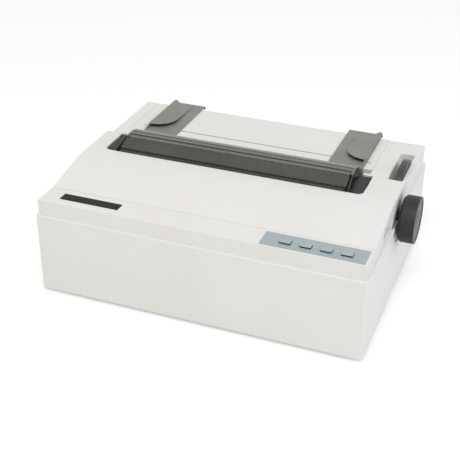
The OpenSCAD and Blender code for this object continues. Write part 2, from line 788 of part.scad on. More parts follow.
module platen_roller() {
    color("#1D1E1C") difference() {
        rod_x(platen_r, platen_x0, platen_x1, platen_at);
        rod_x(shaft_r, platen_x0 - 1, platen_x1 + 1, platen_at);
    }
}

module platen_shaft() {
    color("#B8BABC") rod_x(shaft_r, frame_l - plate_t - 1.5, knob_x1 - 4, platen_at);
}

module platen_gear() {
    color("#D8D6CC") gear(platen_teeth, 0, shaft_r, gear_x0, gear_x0 + gear_w, platen_at);
}

module platen_bushes() {
    color("#C9A24B") difference() {
        for (side = [0, 1]) {
            x = side > 0 ? frame_r : frame_l - plate_t;
            rod_x(shaft_r + 4, x - 2, x + plate_t + 2, platen_at);
            rod_x(shaft_r + 6, side > 0 ? x - 2 : x + plate_t, side > 0 ? x : x + plate_t + 2, platen_at);
        }
        rod_x(shaft_r + run_play, -half_w, half_w, platen_at);
    }
}

module reduction_gear() {
    color("#D8D6CC") union() {
        gear(small_teeth, small_turn, stud_r + run_play, gear_x0, gear_x1, reduction_at);
        gear(large_teeth, 0, stud_r + run_play, gear_x1, gear_x1 + gear_w - 1, reduction_at);
    }
}

module line_feed_motor() {
    color("#8E9092") difference() {
        union() {
            rod_x(motor_r, frame_r - 22, frame_r, motor_at);
            rod_x(stud_r + 4, frame_r - 1, frame_r + plate_t + 1, motor_at);
        }
        rod_x(stud_r + run_play, frame_r - 15, frame_r + 10, motor_at);
    }
}

module motor_pinion() {
    color("#C9A24B") union() {
        rod_x(stud_r, frame_r - 14, gear_x1 + gear_w - 1, motor_at);
        gear(pinion_teeth, pinion_turn, stud_r - 0.5, gear_x1, gear_x1 + gear_w - 1, motor_at);
    }
}

module idler_gear() {
    color("#D8D6CC") gear(idler_teeth, idler_turn, stud_r + run_play, gear_x0, gear_x0 + gear_w, idler_at);
}

module tractor_shaft() {
    color("#B8BABC") union() {
        rod_x(square_w / 2, frame_l - plate_t - 1, gear_x0 + gear_w + 1, tractor_at);
        block(frame_l + 4, frame_r - 4, tractor_at[0] - square_w / 2, tractor_at[0] + square_w / 2,
            tractor_at[1] - square_w / 2, tractor_at[1] + square_w / 2);
    }
}

module tractor_gear() {
    color("#D8D6CC") gear(tractor_teeth, tractor_turn, square_w / 2, gear_x0, gear_x0 + gear_w, tractor_at);
}

module tractor_rod() {
    color("#B8BABC") rod_x(rod_r, frame_l - plate_t, frame_r + plate_t, rod_at);
}

// A tractor's frame: two cheeks around the pin wheel, tied by the boss on the rod.
// Side is 1 on the right.
module tractor(x, side) {
    y0 = tractor_at[0];
    z0 = tractor_at[1];
    top = z0 + pin_wheel_r - 0.4;
    hinge_x = x + side * door_hinge_x;
    ear_x0 = x + side * cheek_in;
    ear_x1 = hinge_x + side * 2;
    color("#4A4D49") difference() {
        union() {
            for (x0 = [x - cheek_out, x + cheek_in])
                along_x(x0, x0 + cheek_out - cheek_in) polygon([[y0 - 15, top], [y0 - 15, z0 - 4],
                    [y0 - 6, z0 - 12], [y0 + 12, z0 - 14], [rod_at[0] + 3, rod_at[1] - 6],
                    [rod_at[0] + 7, rod_at[1] + 3], [y0 + 20, top]]);
            rod_x(rod_r + 2.5, x - cheek_out, x + cheek_out, rod_at);
            for (y = [door_y0 - 4, door_y1 + 0.5])
                block(min(ear_x0, ear_x1), max(ear_x0, ear_x1), y, y + 3.5, top - 6, door_z + 2.5);
        }
        rod_x(wheel_hub_r + run_play, x - 20, x + 20, tractor_at);
        rod_x(rod_r + run_play, x - 20, x + 20, rod_at);
        rod_x(pin_wheel_r + pin_h + gap, x - cheek_in, x + cheek_in, tractor_at);
        rod_y(door_pin_r + run_play, door_y0 - 5, door_y1 + 5, hinge_x, door_z + 0.5);
    }
}

module tractor_left() {
    tractor(tractor_xl, -1);
}

module tractor_right() {
    tractor(tractor_xr, 1);
}

// The door over the pins, with its hinge pin
module tractor_door(x, side) {
    hinge_x = x + side * door_hinge_x;
    far_x = x - side * cheek_out;
    color("#2C2E2B") union() {
        difference() {
            block(min(far_x, hinge_x), max(far_x, hinge_x), door_y0, door_y1, door_z - 0.3, door_z + 1.5);
            block(x - 2.2, x + 2.2, door_y0 + 3, door_y1 - 3, door_z - 1, door_z + 2);
        }
        rod_y(door_pin_r, door_y0 - 3.5, door_y1 + 3.5, hinge_x, door_z + 0.5);
    }
}

module tractor_door_left() {
    tractor_door(tractor_xl, -1);
}

module tractor_door_right() {
    tractor_door(tractor_xr, 1);
}

module pin_wheel(x) {
    color("#2C2E2B") difference() {
        union() {
            rod_x(pin_wheel_r - 0.4, x - wheel_w / 2, x + wheel_w / 2, tractor_at);
            // Its hubs turn in the tractor's cheeks
            rod_x(wheel_hub_r, x - cheek_out, x + cheek_out, tractor_at);
            for (i = [0 : pin_count - 1]) translate([x, tractor_at[0], tractor_at[1]])
                rotate([i * 360 / pin_count, 0, 0]) translate([0, 0, pin_wheel_r - 2])
                    cylinder(r1 = 1.9, r2 = 1.2, h = pin_h + 2);
        }
        half = square_w / 2 + run_play;
        block(x - 20, x + 20, tractor_at[0] - half, tractor_at[0] + half, tractor_at[1] - half,
            tractor_at[1] + half);
    }
}

module pin_wheel_left() {
    pin_wheel(tractor_xl);
}

module pin_wheel_right() {
    pin_wheel(tractor_xr);
}

module paper_lever() {
    z1 = deck_z + lever_rise;
    y0 = lever_y0;
    y1 = lever_y0 + lever_l;
    color("#3F433D") difference() {
        union() {
            along_x(lever_x0, lever_x1) polygon([[y0 + 1, deck_z - 8], [y0, deck_z - 2],
                [y0 + 7, deck_z + 5.5], [y0 + 19, z1 - 1], [y0 + 34, z1], [y1 - 8, z1 - 3],
                [y1 - 1, deck_z + 1], [y1 - 2, deck_z - 8]]);
            along_x(lever_arm_x, lever_arm_x + lever_arm_w) polygon([[lever_mid_y - 7, lever_pivot_z],
                [lever_mid_y - 12, deck_z - 7], [lever_mid_y + 12, deck_z - 7],
                [lever_mid_y + 7, lever_pivot_z]]);
            rod_x(7, lever_arm_x, lever_arm_x + lever_arm_w, [lever_mid_y, lever_pivot_z]);
        }
        rod_x(stud_r + run_play, lever_x0 - 1, lever_x1 + 1, [lever_mid_y, lever_pivot_z]);
    }
}

module frame_outline() {
    top = frame_top + 18.5;
    polygon([[frame_y0, floor_top], [frame_y1, floor_top], [frame_y1, frame_top - 6.5],
        [tractor_at[0] + 8, frame_top + 5.5], [platen_y + 29.6, frame_top + 9.5], [platen_y + 11.6, top],
        [platen_y - 13.4, top], [platen_y - 26.4, frame_top + 5.5], [guide_shaft_y - 14, frame_top],
        [frame_y0, frame_top]]);
}

// One side frame: the plate, its foot flange and the tab that carries the ribbon cartridge
module side_frame(x, side) {
    inner = side > 0 ? x : x + plate_t;
    difference() {
        union() {
            along_x(x, x + plate_t) frame_outline();
            block(min(inner, inner - side * 14), max(inner, inner - side * 14), 190, 246, floor_top,
                floor_top + plate_t);
            block(min(inner, inner - side * 30), max(inner, inner - side * 30), 54, 88, frame_top,
                cartridge_z);
            block(min(inner + side * plate_t, inner), max(inner + side * plate_t, inner), 54, 88,
                frame_top - 1, cartridge_z);
        }
        rod_x(shaft_r + 4 + run_play, x - 1, x + plate_t + 1, platen_at);
        rod_x(guide_shaft_r + run_play, x - 1, x + plate_t + 1, [guide_shaft_y, guide_shaft_z]);
        rod_x(square_w / 2 + run_play, x - 1, x + plate_t + 1, tractor_at);
        rod_x(rod_r, x - 1, x + plate_t + 1, rod_at);
        rod_x(pressure_shaft_r + run_play, x - 1, x + plate_t + 1, pressure_at);
        if (side > 0) rod_x(stud_r + 4 + run_play, x - 1, x + plate_t + 1, motor_at);
    }
}

module side_frame_left() {
    color("#A9ACAE") side_frame(frame_l - plate_t, -1);
}

module side_frame_right() {
    color("#A9ACAE") union() {
        side_frame(frame_r, 1);
        for (at = [idler_at, reduction_at]) rod_x(stud_r, frame_r, gear_x1 + gear_w, at);
        rod_x(stud_r, frame_r, lever_arm_x + lever_arm_w + 1, [lever_mid_y, lever_pivot_z]);
        for (at = [idler_at, reduction_at]) rod_x(stud_r + 2, frame_r, gear_x0 - 0.2, at);
        rod_x(stud_r + 2, frame_r, lever_arm_x - 0.2, [lever_mid_y, lever_pivot_z]);
    }
}

module base_frame() {
    color("#A9ACAE") difference() {
        union() {
            block(frame_l, frame_r, frame_y0 + 6, frame_y1, base_z, floor_top);
            // Front wall, folded up, on whose flange the carriage slides
            block(frame_l, frame_r, rail_y, rail_y + plate_t, base_z, rail_z);
            block(frame_l, frame_r, rail_y, rail_y + rail_w, rail_z - plate_t, rail_z);
            // Bracket of the idler pulley
            block(idler_x - 12, idler_x + 12, belt_y - 10, belt_y + 10, base_z, belt_z - 1.7);
            post(stud_r, idler_x, belt_y, belt_z - 3, belt_z + belt_h + 1.5);
        }
        for (p = frame_screws) post(screw_r + 0.15, p[0], p[1], base_z - 1, floor_top + 1);
    }
}

module carriage_shaft() {
    color("#B8BABC") rod_x(guide_shaft_r, frame_l - plate_t - 3, frame_r + plate_t + 3,
        [guide_shaft_y, guide_shaft_z]);
}

// A lever on the carriage shaft that sets the gap for thick paper
module head_gap_lever() {
    x0 = frame_l + plate_t + 0.5;
    at = [guide_shaft_y, guide_shaft_z];
    color("#3A6FA8") difference() {
        union() {
            rod_x(guide_shaft_r + 4, x0, x0 + 3, at);
            along_x(x0, x0 + 3) polygon([[at[0] - 4, at[1] + 5], [at[0] + 4, at[1] + 5],
                [at[0] + 12, at[1] + 44], [at[0] + 5, at[1] + 44]]);
            block(x0, x0 + 9, at[0] + 4.5, at[0] + 12, at[1] + 41, at[1] + 44);
        }
        rod_x(guide_shaft_r + run_play, x0 - 1, x0 + 4, at);
    }
}

module carriage() {
    x0 = carriage_x - carriage_w / 2;
    x1 = carriage_x + carriage_w / 2;
    grip_y = belt_y - pulley_r - 0.3 - belt_t / 2;
    color("#2C2E2B") difference() {
        union() {
            block(x0, x1, carriage_y0, carriage_y1, carriage_z0, carriage_z1);
            block(x0 + 8, x1 - 8, rail_y - 2, carriage_y0 + 1, rail_z + 0.2, rail_z + 5);
            block(carriage_x - 12, carriage_x + 12, grip_y - 5, grip_y + 5, belt_z, rail_z + 2);
        }
        rod_x(guide_shaft_r + run_play, x0 - 1, x1 + 1, [guide_shaft_y, guide_shaft_z]);
        block(x0, x1, grip_y - belt_t / 2 - 0.3, grip_y + belt_t / 2 + 0.3, belt_z - 1,
            belt_z + belt_h + 0.4);
    }
}

module print_head() {
    color("#5B5E60") union() {
        for (i = [0 : 4]) rod_y(head_r, head_y0 + i * 5.6, head_y0 + i * 5.6 + 3, carriage_x, platen_z);
        rod_y(head_r - 3, head_y0, head_y1, carriage_x, platen_z);
        block(carriage_x - 10, carriage_x + 10, head_y1 - 4, nose_y - 8, platen_z - 12, platen_z + 10);
        block(carriage_x - 4, carriage_x + 4, nose_y - 9, nose_y, platen_z - 7, platen_z + 7);
        block(carriage_x - 22, carriage_x + 22, head_y0, head_y1, carriage_z1, platen_z - head_r + 5);
    }
}

module ribbon_cartridge() {
    z1 = cartridge_z + cartridge_h;
    arm_y1 = ribbon_y - 3;
    color("#1F201E") difference() {
        union() {
            translate([0, 0, cartridge_z]) linear_extrude(cartridge_h)
                round_rect(cartridge_x0, cartridge_x1, cartridge_y0, cartridge_y0 + cartridge_d, 5);
            for (x = [cartridge_x0, cartridge_x1 - arm_w]) {
                block(x, x + arm_w, cartridge_y0 + cartridge_d - 6, arm_y1, cartridge_z, z1 - 5);
                block(x + 4, x + arm_w - 4, arm_y1 - 1, ribbon_y, cartridge_z, z1 - 6);
            }
        }
        post(3 + run_play, ribbon_knob_x, ribbon_knob_y, cartridge_z + 3, z1 + 1);
    }
}

module ribbon() {
    color("#101010") block(cartridge_x0 + 4, cartridge_x1 - 4, ribbon_y, ribbon_y + ribbon_t,
        platen_z - ribbon_h / 2, platen_z + ribbon_h / 2);
}

module ribbon_knob() {
    z1 = cartridge_z + cartridge_h;
    color("#3A6FA8") union() {
        post(3, ribbon_knob_x, ribbon_knob_y, cartridge_z + 4, z1 + 1);
        translate([ribbon_knob_x, ribbon_knob_y, z1 + 0.3]) linear_extrude(3.5) difference() {
            circle(r = 8);
            for (i = [0 : 11]) rotate(i * 30) translate([8.4, 0]) circle(r = 1);
        }
    }
}

module belt_loop(r) {
    hull_w = idler_x - drive_x;
    translate([drive_x, belt_y]) circle(r = r);
    translate([idler_x, belt_y]) circle(r = r);
    translate([drive_x, belt_y - r]) square([hull_w, 2 * r]);
}

module carriage_belt() {
    color("#141414") translate([0, 0, belt_z]) linear_extrude(belt_h) difference() {
        belt_loop(pulley_r + 0.3 + belt_t);
        belt_loop(pulley_r + 0.3);
    }
}

module pulley(x) {
    post(pulley_r, x, belt_y, belt_z - 0.2, belt_z + belt_h + 0.2);
    post(pulley_r + 2.5, x, belt_y, belt_z - 1.4, belt_z - 0.2);
}

module drive_pulley() {
    color("#B8BABC") union() {
        pulley(drive_x);
        post(stud_r, drive_x, belt_y, floor_top + 6, belt_z);
    }
}

module idler_pulley() {
    color("#D8D6CC") difference() {
        pulley(idler_x);
        post(stud_r + run_play, idler_x, belt_y, belt_z - 5, belt_z + belt_h + 5);
    }
}

module carriage_motor() {
    color("#8E9092") difference() {
        post(motor_r, drive_x, belt_y, floor_top, belt_z - 3);
        post(stud_r + run_play, drive_x, belt_y, floor_top + 5, belt_z);
    }
}

module paper_chute() {
    start = step_from(platen_at, chute_r, -14);
    color("#A9ACAE") difference() {
        union() {
            translate([0, platen_y, platen_z]) along_x(platen_x0 + 1, platen_x1 - 1) intersection() {
                difference() {
                    circle(r = chute_r + plate_t);
                    circle(r = chute_r);
                }
                polygon([[0, 0], [-40 * cos(34), -40 * sin(34)], [-40, -60], [60, -60],
                    [60 * cos(14), -60 * sin(14)]]);
            }
            along_x(table_x0 + 2, table_x1 - 2) polygon([start, [deck_y0 + 6.4, entry_z + 5],
                [deck_y0 + 7.7, entry_z + 4.2], [start[0] + 1.45, start[1] - 0.6]]);
            // Feet of the chute on the side frames
            for (x = [frame_l, frame_r - 14])
                block(x, x + 14, platen_y - 10.4, platen_y + 7.6, platen_z - chute_r - 6,
                    platen_z - chute_r - 1);
        }
        for (x = pressure_xs)
            rod_x(pressure_r + 0.8, x - pressure_len / 2 - 1.5, x + pressure_len / 2 + 1.5, pressure_at);
    }
}

module pressure_rollers() {
    color("#1D1E1C") difference() {
        for (x = pressure_xs) rod_x(pressure_r, x - pressure_len / 2, x + pressure_len / 2, pressure_at);
        rod_x(pressure_shaft_r, -half_w, half_w, pressure_at);
    }
}

module pressure_shaft() {
    color("#B8BABC") rod_x(pressure_shaft_r, frame_l - plate_t - 1, frame_r + plate_t + 1, pressure_at);
}

module main_board() {
    top = board_z + board_t;
    color("#2F5D3A") difference() {
        union() {
            block(main_x0, main_x1, main_y0, main_y1, board_z, top);
            block(socket_x - 40, socket_x + 40, main_y1 - 1, case_d - 16, board_z, top);
            for (i = [0 : 3], j = [0 : 1])
                block(-35 + i * 48, -5 + i * 48, 90 + j * 60, 104 + j * 60, top - 0.1, top + 4);
            block(-40, 0, 190, 230, top - 0.1, top + 4);
            for (i = [0 : 2]) post(6, 60 + i * 30, 222, top - 0.1, top + 8);
        }
        for (p = frame_screws) post(6.5, p[0], p[1], board_z - 1, top + 1);
    }
}

// The heat sink and two capacitors stand on the power board
module power_board() {
    top = board_z + board_t;
    color("#B08D4F") union() {
        block(power_x0, power_x1, power_y0, power_y1, board_z, top);
        block(power_x0 + 10, power_x0 + 74, power_y0 + 22, power_y0 + 26, top - 0.1, 46);
        for (i = [0 : 1]) post(12, -2 + i * 26, power_y0 + 24, top - 0.1, 46);
    }
}

module transformer() {
    x0 = -half_w + 57.5;
    y0 = case_d - 50;
    color("#6B5B45") union() {
        block(x0, x0 + transformer_w, y0, case_d - 10, wall, 52);
        block(x0 + 6, x0 + transformer_w - 6, frame_y1 + 1, y0 + 0.5, 10, 45);
    }
}

module power_inlet() {
    y0 = case_d - 24;
    color("#1A1A1A") union() {
        difference() {
            union() {
                block(inlet_x - inlet_w / 2 + 0.2, inlet_x + inlet_w / 2 - 0.2, y0, case_d,
                    inlet_z - inlet_h / 2 + 0.2, inlet_z + inlet_h / 2 - 0.2);
                block(inlet_x - inlet_w / 2 - 3, inlet_x + inlet_w / 2 + 3, case_d - wall - 2,
                    case_d - wall, inlet_z - inlet_h / 2 - 3, inlet_z + inlet_h / 2 + 3);
            }
            block(inlet_x - 12, inlet_x + 12, y0 + 6, case_d + 1, inlet_z - 8, inlet_z + 8);
        }
        for (x = [-7, 0, 7]) block(inlet_x + x - 1, inlet_x + x + 1, y0 + 5, case_d - 5,
            inlet_z - 2 + (x == 0 ? 3 : -2), inlet_z + 2 + (x == 0 ? 3 : -2));
    }
}

module power_switch() {
    x0 = -half_w;
    color("#1A1A1A") difference() {
        union() {
            block(x0 - 0.8, x0, switch_y - switch_l / 2 - 1.1, switch_y + switch_l / 2 + 1.1,
                switch_z - switch_h / 2 - 1.1, switch_z + switch_h / 2 + 1.1);
            block(x0 - 0.4, x0 + 18, switch_y - switch_l / 2, switch_y + switch_l / 2,
                switch_z - switch_h / 2, switch_z + switch_h / 2);
        }
        block(x0 - 1, x0 + 12, switch_y - rocker_l / 2 - 0.8, switch_y + rocker_l / 2 + 0.8,
            switch_z - rocker_w / 2 - gap, switch_z + rocker_w / 2 + gap);
        post(1.5 + run_play, x0 + rocker_pivot, switch_y, switch_z - rocker_w / 2 - 1.5,
            switch_z + rocker_w / 2 + 1.5);
    }
}

// The rocker turns on its pin, and one end stands out at rest
module power_rocker() {
    translate([-half_w + rocker_pivot, switch_y, switch_z]) rotate([0, 0, rocker_tilt / 2])
        color("#2A2A2A") union() {
            translate([0, 0, -rocker_w / 2]) linear_extrude(rocker_w)
                polygon([[-rocker_pivot - 1, -rocker_l / 2 + 1], [-rocker_pivot + 1.2, 0],
                    [-rocker_pivot - 1, rocker_l / 2 - 1], [2, rocker_l / 2 - 1], [4, 0],
                    [2, -rocker_l / 2 + 1]]);
            translate([0, 0, -rocker_w / 2 - 1.2]) cylinder(r = 1.5, h = rocker_w + 2.4);
        }
}

module data_socket() {
    top = board_z + board_t;
    color("#2C2E2B") difference() {
        block(socket_x - socket_w / 2 + 0.3, socket_x + socket_w / 2 - 0.3, case_d - 20, case_d + 0.5,
            top, top + socket_h - 0.3);
        block(socket_x - 22, socket_x + 22, case_d - 8, case_d + 1, top + 3, top + socket_h - 3.3);
    }
}

module feet() {
    color("#242424") for (side = [-1, 1], y = [25, case_d - 27])
        post(foot_r, side * (half_w - 24), y, -foot_h, 0);
}

module screws() {
    color("#9A9C9E") union() {
        for (side = [-1, 1], y = screw_ys) {
            post(screw_r, side * screw_x, y, screw_head_z - 1, ledge_z + 9);
            post(3.8, side * screw_x, y, screw_head_z - 2.5, screw_head_z);
        }
        for (p = frame_screws) {
            post(screw_r, p[0], p[1], 10, floor_top + 1);
            post(3.6, p[0], p[1], floor_top, floor_top + 2.2);
        }
    }
}

place() lower_case();
place() upper_case();
place() front_cover();
place() acoustic_cover();
place() sheet_table();
place() sheet_guide_left();
place() sheet_guide_right();
place() control_panel();
place() button_1();
place() button_2();
place() button_3();
place() button_4();
place() indicator_lenses();
place() badge_plate();
place() panel_board();
place() platen_knob();
place() platen_roller();
place() platen_shaft();
place() platen_gear();
place() platen_bushes();
place() reduction_gear();
place() line_feed_motor();
place() motor_pinion();
place() idler_gear();
place() tractor_shaft();
place() tractor_gear();
place() tractor_rod();
place() tractor_left();
place() tractor_right();
place() tractor_door_left();
place() tractor_door_right();
place() pin_wheel_left();
place() pin_wheel_right();
place() paper_lever();
place() side_frame_left();
place() side_frame_right();
place() base_frame();
place() carriage_shaft();
place() head_gap_lever();
place() carriage();
place() print_head();
place() ribbon_cartridge();
place() ribbon();
place() ribbon_knob();
place() carriage_belt();
place() drive_pulley();
place() idler_pulley();
place() carriage_motor();
place() paper_chute();
place() pressure_rollers();
place() pressure_shaft();
place() main_board();
place() power_board();
place() transformer();
place() power_inlet();
place() power_switch();
place() power_rocker();
place() data_socket();
place() feet();
place() screws();
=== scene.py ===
"""Dot matrix printer with a hinged front cover, a smoked hood and two sheet guides.

All lengths below are millimetres in the case's own frame: x from the middle of
the case, y back from its front, z up from the lower case's bottom edge.
"""
import math

import bpy
from mathutils import Matrix, Vector


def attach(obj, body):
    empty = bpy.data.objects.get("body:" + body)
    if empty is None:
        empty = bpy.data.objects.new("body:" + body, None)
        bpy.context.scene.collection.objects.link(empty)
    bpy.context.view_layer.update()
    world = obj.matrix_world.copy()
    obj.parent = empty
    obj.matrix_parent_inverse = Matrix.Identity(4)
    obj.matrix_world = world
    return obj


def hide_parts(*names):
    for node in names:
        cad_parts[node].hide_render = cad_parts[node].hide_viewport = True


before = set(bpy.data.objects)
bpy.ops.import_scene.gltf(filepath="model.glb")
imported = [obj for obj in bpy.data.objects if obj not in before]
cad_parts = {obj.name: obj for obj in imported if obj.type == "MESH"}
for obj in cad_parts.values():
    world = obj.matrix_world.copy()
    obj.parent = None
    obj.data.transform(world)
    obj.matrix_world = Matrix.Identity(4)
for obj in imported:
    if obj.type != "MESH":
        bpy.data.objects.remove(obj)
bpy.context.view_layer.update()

MM = 0.001
# The shared frame's origin in the case's frame. Its z is the underside of the feet.
ORIGIN = Vector((11.0, 165.5, -4.0))


# ---------------------------------------------------------------- helpers

def at(x, y, z):
    """A point of the case's frame, in metres of the shared frame."""
    return (Vector((x, y, z)) - ORIGIN) * MM


def mm(point):
    """A point of the shared frame, in millimetres of the case's frame."""
    return Vector(point) / MM + ORIGIN


def near(value, target, reach=0.1):
    return abs(value - target) < reach


def deselect():
    if bpy.context.object and bpy.context.object.mode != "OBJECT":
        bpy.ops.object.mode_set(mode="OBJECT")
    bpy.ops.object.select_all(action="DESELECT")


def activate(piece):
    deselect()
    piece.select_set(True)
    bpy.context.view_layer.objects.active = piece


def edit(piece):
    activate(piece)
    bpy.ops.object.mode_set(mode="EDIT")


def done():
    bpy.ops.object.mode_set(mode="OBJECT")


def freeze(piece):
    """Puts a piece's place, turn and scale into its mesh."""
    activate(piece)
    bpy.ops.object.transform_apply(location=True, rotation=True, scale=True)


def slab(name, x0, x1, y0, y1, z0, z1):
    """A box between two planes on each axis."""
    middle = at((x0 + x1) / 2, (y0 + y1) / 2, (z0 + z1) / 2)
    size = (abs(x1 - x0) * MM, abs(y1 - y0) * MM, abs(z1 - z0) * MM)
    deselect()
    bpy.ops.mesh.primitive_cube_add(size=1, location=middle, scale=size)
    piece = bpy.context.object
    piece.name = name
    freeze(piece)
    return piece


def drum(name, radius, middle, length, sides):
    """A cylinder along X, whose middle is a point of the case's frame."""
    deselect()
    bpy.ops.mesh.primitive_cylinder_add(vertices=sides, radius=radius * MM, depth=length * MM,
                                        location=at(*middle), rotation=(0, math.pi / 2, 0))
    piece = bpy.context.object
    piece.name = name
    freeze(piece)
    return piece


def copy_of(piece, shift):
    """A copy with its own mesh, moved by millimetres along the three axes."""
    twin = piece.copy()
    twin.data = piece.data.copy()
    bpy.context.scene.collection.objects.link(twin)
    twin.location = Vector(shift) * MM
    freeze(twin)
    return twin


def pick(piece, kind, test):
    """Selects what passes the test, and enters edit mode.

    A VERT is tested by its place, an EDGE by the places of both its ends, and a
    FACE by its centre and its normal.
    """
    edit(piece)
    bpy.ops.mesh.select_mode(type=kind)
    bpy.ops.mesh.select_all(action="DESELECT")
    done()
    mesh = piece.data
    if kind == "FACE":
        for face in mesh.polygons:
            face.select = bool(test(mm(face.center), face.normal))
    else:
        passed = [bool(test(mm(vertex.co))) for vertex in mesh.vertices]
        if kind == "EDGE":
            for edge in mesh.edges:
                edge.select = all(passed[i] for i in edge.vertices)
        else:
            for vertex in mesh.vertices:
                vertex.select = passed[vertex.index]
    bpy.ops.object.mode_set(mode="EDIT")


def round_edges(piece, test, width, steps):
    """Rounds the edges whose two ends pass the test. One step makes a chamfer."""
    pick(piece, "EDGE", test)
    bpy.ops.mesh.bevel(offset=width * MM, offset_type="OFFSET", segments=steps, profile=0.5,
                       affect="EDGES", clamp_overlap=True)
    done()


def slice_off(piece, point, normal, keep_both=False):
    """Cuts a piece by a plane; the side that the normal points to goes."""
    edit(piece)
    bpy.ops.mesh.select_all(action="SELECT")
    bpy.ops.mesh.bisect(plane_co=at(*point), plane_no=Vector(normal).normalized(),
                        use_fill=not keep_both, clear_outer=not keep_both, threshold=1e-7)
    done()


def slice_above(piece, y0, z0, y1, z1):
    """Cuts away what stands above a plane, given by two points of the side view."""
    slice_off(piece, (0, y0, z0), (0, z0 - z1, y1 - y0))


def slice_below(piece, y0, z0, y1, z1):
    """Cuts away what hangs below a plane, given by two points of the side view."""
    slice_off(piece, (0, y0, z0), (0, z1 - z0, y0 - y1))


def apply(piece, kind, **settings):
    """Adds a modifier with its settings and applies it."""
    activate(piece)
    modifier = piece.modifiers.new(kind.title(), kind)
    for name, value in settings.items():
        setattr(modifier, name, value)
    bpy.ops.object.modifier_apply(modifier=modifier.name)


def carve(piece, *cutters):
    for cutter in cutters:
        apply(piece, "BOOLEAN", operation="DIFFERENCE", object=cutter, solver="EXACT")
        bpy.data.objects.remove(cutter, do_unlink=True)


def fuse(piece, other):
    apply(piece, "BOOLEAN", operation="UNION", object=other, solver="EXACT")
    bpy.data.objects.remove(other, do_unlink=True)


def join(piece, *others):
    deselect()
    for other in others:
        other.select_set(True)
    piece.select_set(True)
    bpy.context.view_layer.objects.active = piece
    bpy.ops.object.join()


# Edges sharper than this many degrees are rounded, and stay crisp in the shading
SHARP = 35


def soften_edges(piece, width, steps=2, angle=SHARP):
    """Rounds every edge that is sharper than the angle, as a moulding or a pressing has it."""
    apply(piece, "BEVEL", width=width * MM, segments=steps, limit_method="ANGLE",
          angle_limit=math.radians(angle), use_clamp_overlap=True, harden_normals=False,
          miter_outer="MITER_ARC")
    activate(piece)
    bpy.ops.object.shade_smooth_by_angle(angle=math.radians(SHARP))
    apply(piece, "WEIGHTED_NORMAL", keep_sharp=True, weight=60)


def finish_piece(piece, body, slot, material, *nodes):
    """Gives a piece its material and its body, and hides the CAD nodes that it replaces; the slot
    is not used.
    """
    freeze(piece)
    piece.data.materials.clear()
    piece.data.materials.append(material)
    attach(piece, body)
    if nodes:
        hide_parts(*nodes)


def paint_faces(piece, material, test):
    """Gives one more material to the faces that pass the test, by their centre and the face."""
    piece.data.materials.append(material)
    for face in piece.data.polygons:
        if test(mm(face.center), face):
            face.material_index = len(piece.data.materials) - 1


# Points closer than this many mm are one, and faces within this many degrees are one flat face
WELD = 0.02
FLAT = 0.6


def cast_of(node, name, whole_faces=True):
    """A merged copy of a CAD node's mesh, with its flat faces whole again.

    A flat face with many openings tears when it is made whole, so it can be left in triangles.
    """
    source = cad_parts[node]
    piece = bpy.data.objects.new(name, source.data.copy())
    bpy.context.scene.collection.objects.link(piece)
    piece.matrix_world = source.matrix_world.copy()
    freeze(piece)
    edit(piece)
    bpy.ops.mesh.select_all(action="SELECT")
    bpy.ops.mesh.remove_doubles(threshold=WELD * MM)
    if whole_faces:
        bpy.ops.mesh.dissolve_limited(angle_limit=math.radians(FLAT))
    done()
    return piece


# ---------------------------------------------------------------- materials

def linear(code):
    """An sRGB hex colour as linear RGBA."""
    parts = [int(code[i:i + 2], 16) / 255 for i in (1, 3, 5)]
    return tuple(c / 12.92 if c <= 0.04045 else ((c + 0.055) / 1.055) ** 2.4
                 for c in parts) + (1.0,)


def add_node(tree, kind, attributes=None, inputs=None):
    """Adds one node. Inputs are values, or the output sockets that feed them."""
    node = tree.nodes.new(kind)
    for name, value in (attributes or {}).items():
        setattr(node, name, value)
    for name, value in (inputs or {}).items():
        if isinstance(value, bpy.types.NodeSocket):
            tree.links.new(value, node.inputs[name])
        else:
            node.inputs[name].default_value = value
    return node


def new_material(name):
    """A material with its shader, its tree and its Object coordinates."""
    material = bpy.data.materials.new(name)
    material.use_nodes = True
    tree = material.node_tree
    shader = next(n for n in tree.nodes if n.type == "BSDF_PRINCIPLED")
    place = add_node(tree, "ShaderNodeTexCoord").outputs["Object"]
    return material, tree, shader, place


def set_shader(shader, **values):
    """Sets the shader's own sockets; an underscore stands for a space in a socket's name."""
    for socket, value in values.items():
        shader.inputs[socket.replace("_", " ")].default_value = value


def two_tone(tree, factor, first, second, low=0.35, high=0.65):
    """A ramp from one hex colour to another over a part of the factor's range."""
    ramp = add_node(tree, "ShaderNodeValToRGB", inputs={"Fac": factor})
    ramp.color_ramp.elements[0].position = low
    ramp.color_ramp.elements[0].color = linear(first)
    ramp.color_ramp.elements[1].position = high
    ramp.color_ramp.elements[1].color = linear(second)
    return ramp.outputs["Color"]


def noise_scale(size):
    """The scale at which a noise texture's blotches are the given number of mm across."""
    return 1 / (size * MM)


def wave_scale(spacing):
    """The scale at which a wave texture's bands stand the given number of mm apart."""
    return 2 * math.pi / 20 / (spacing * MM)


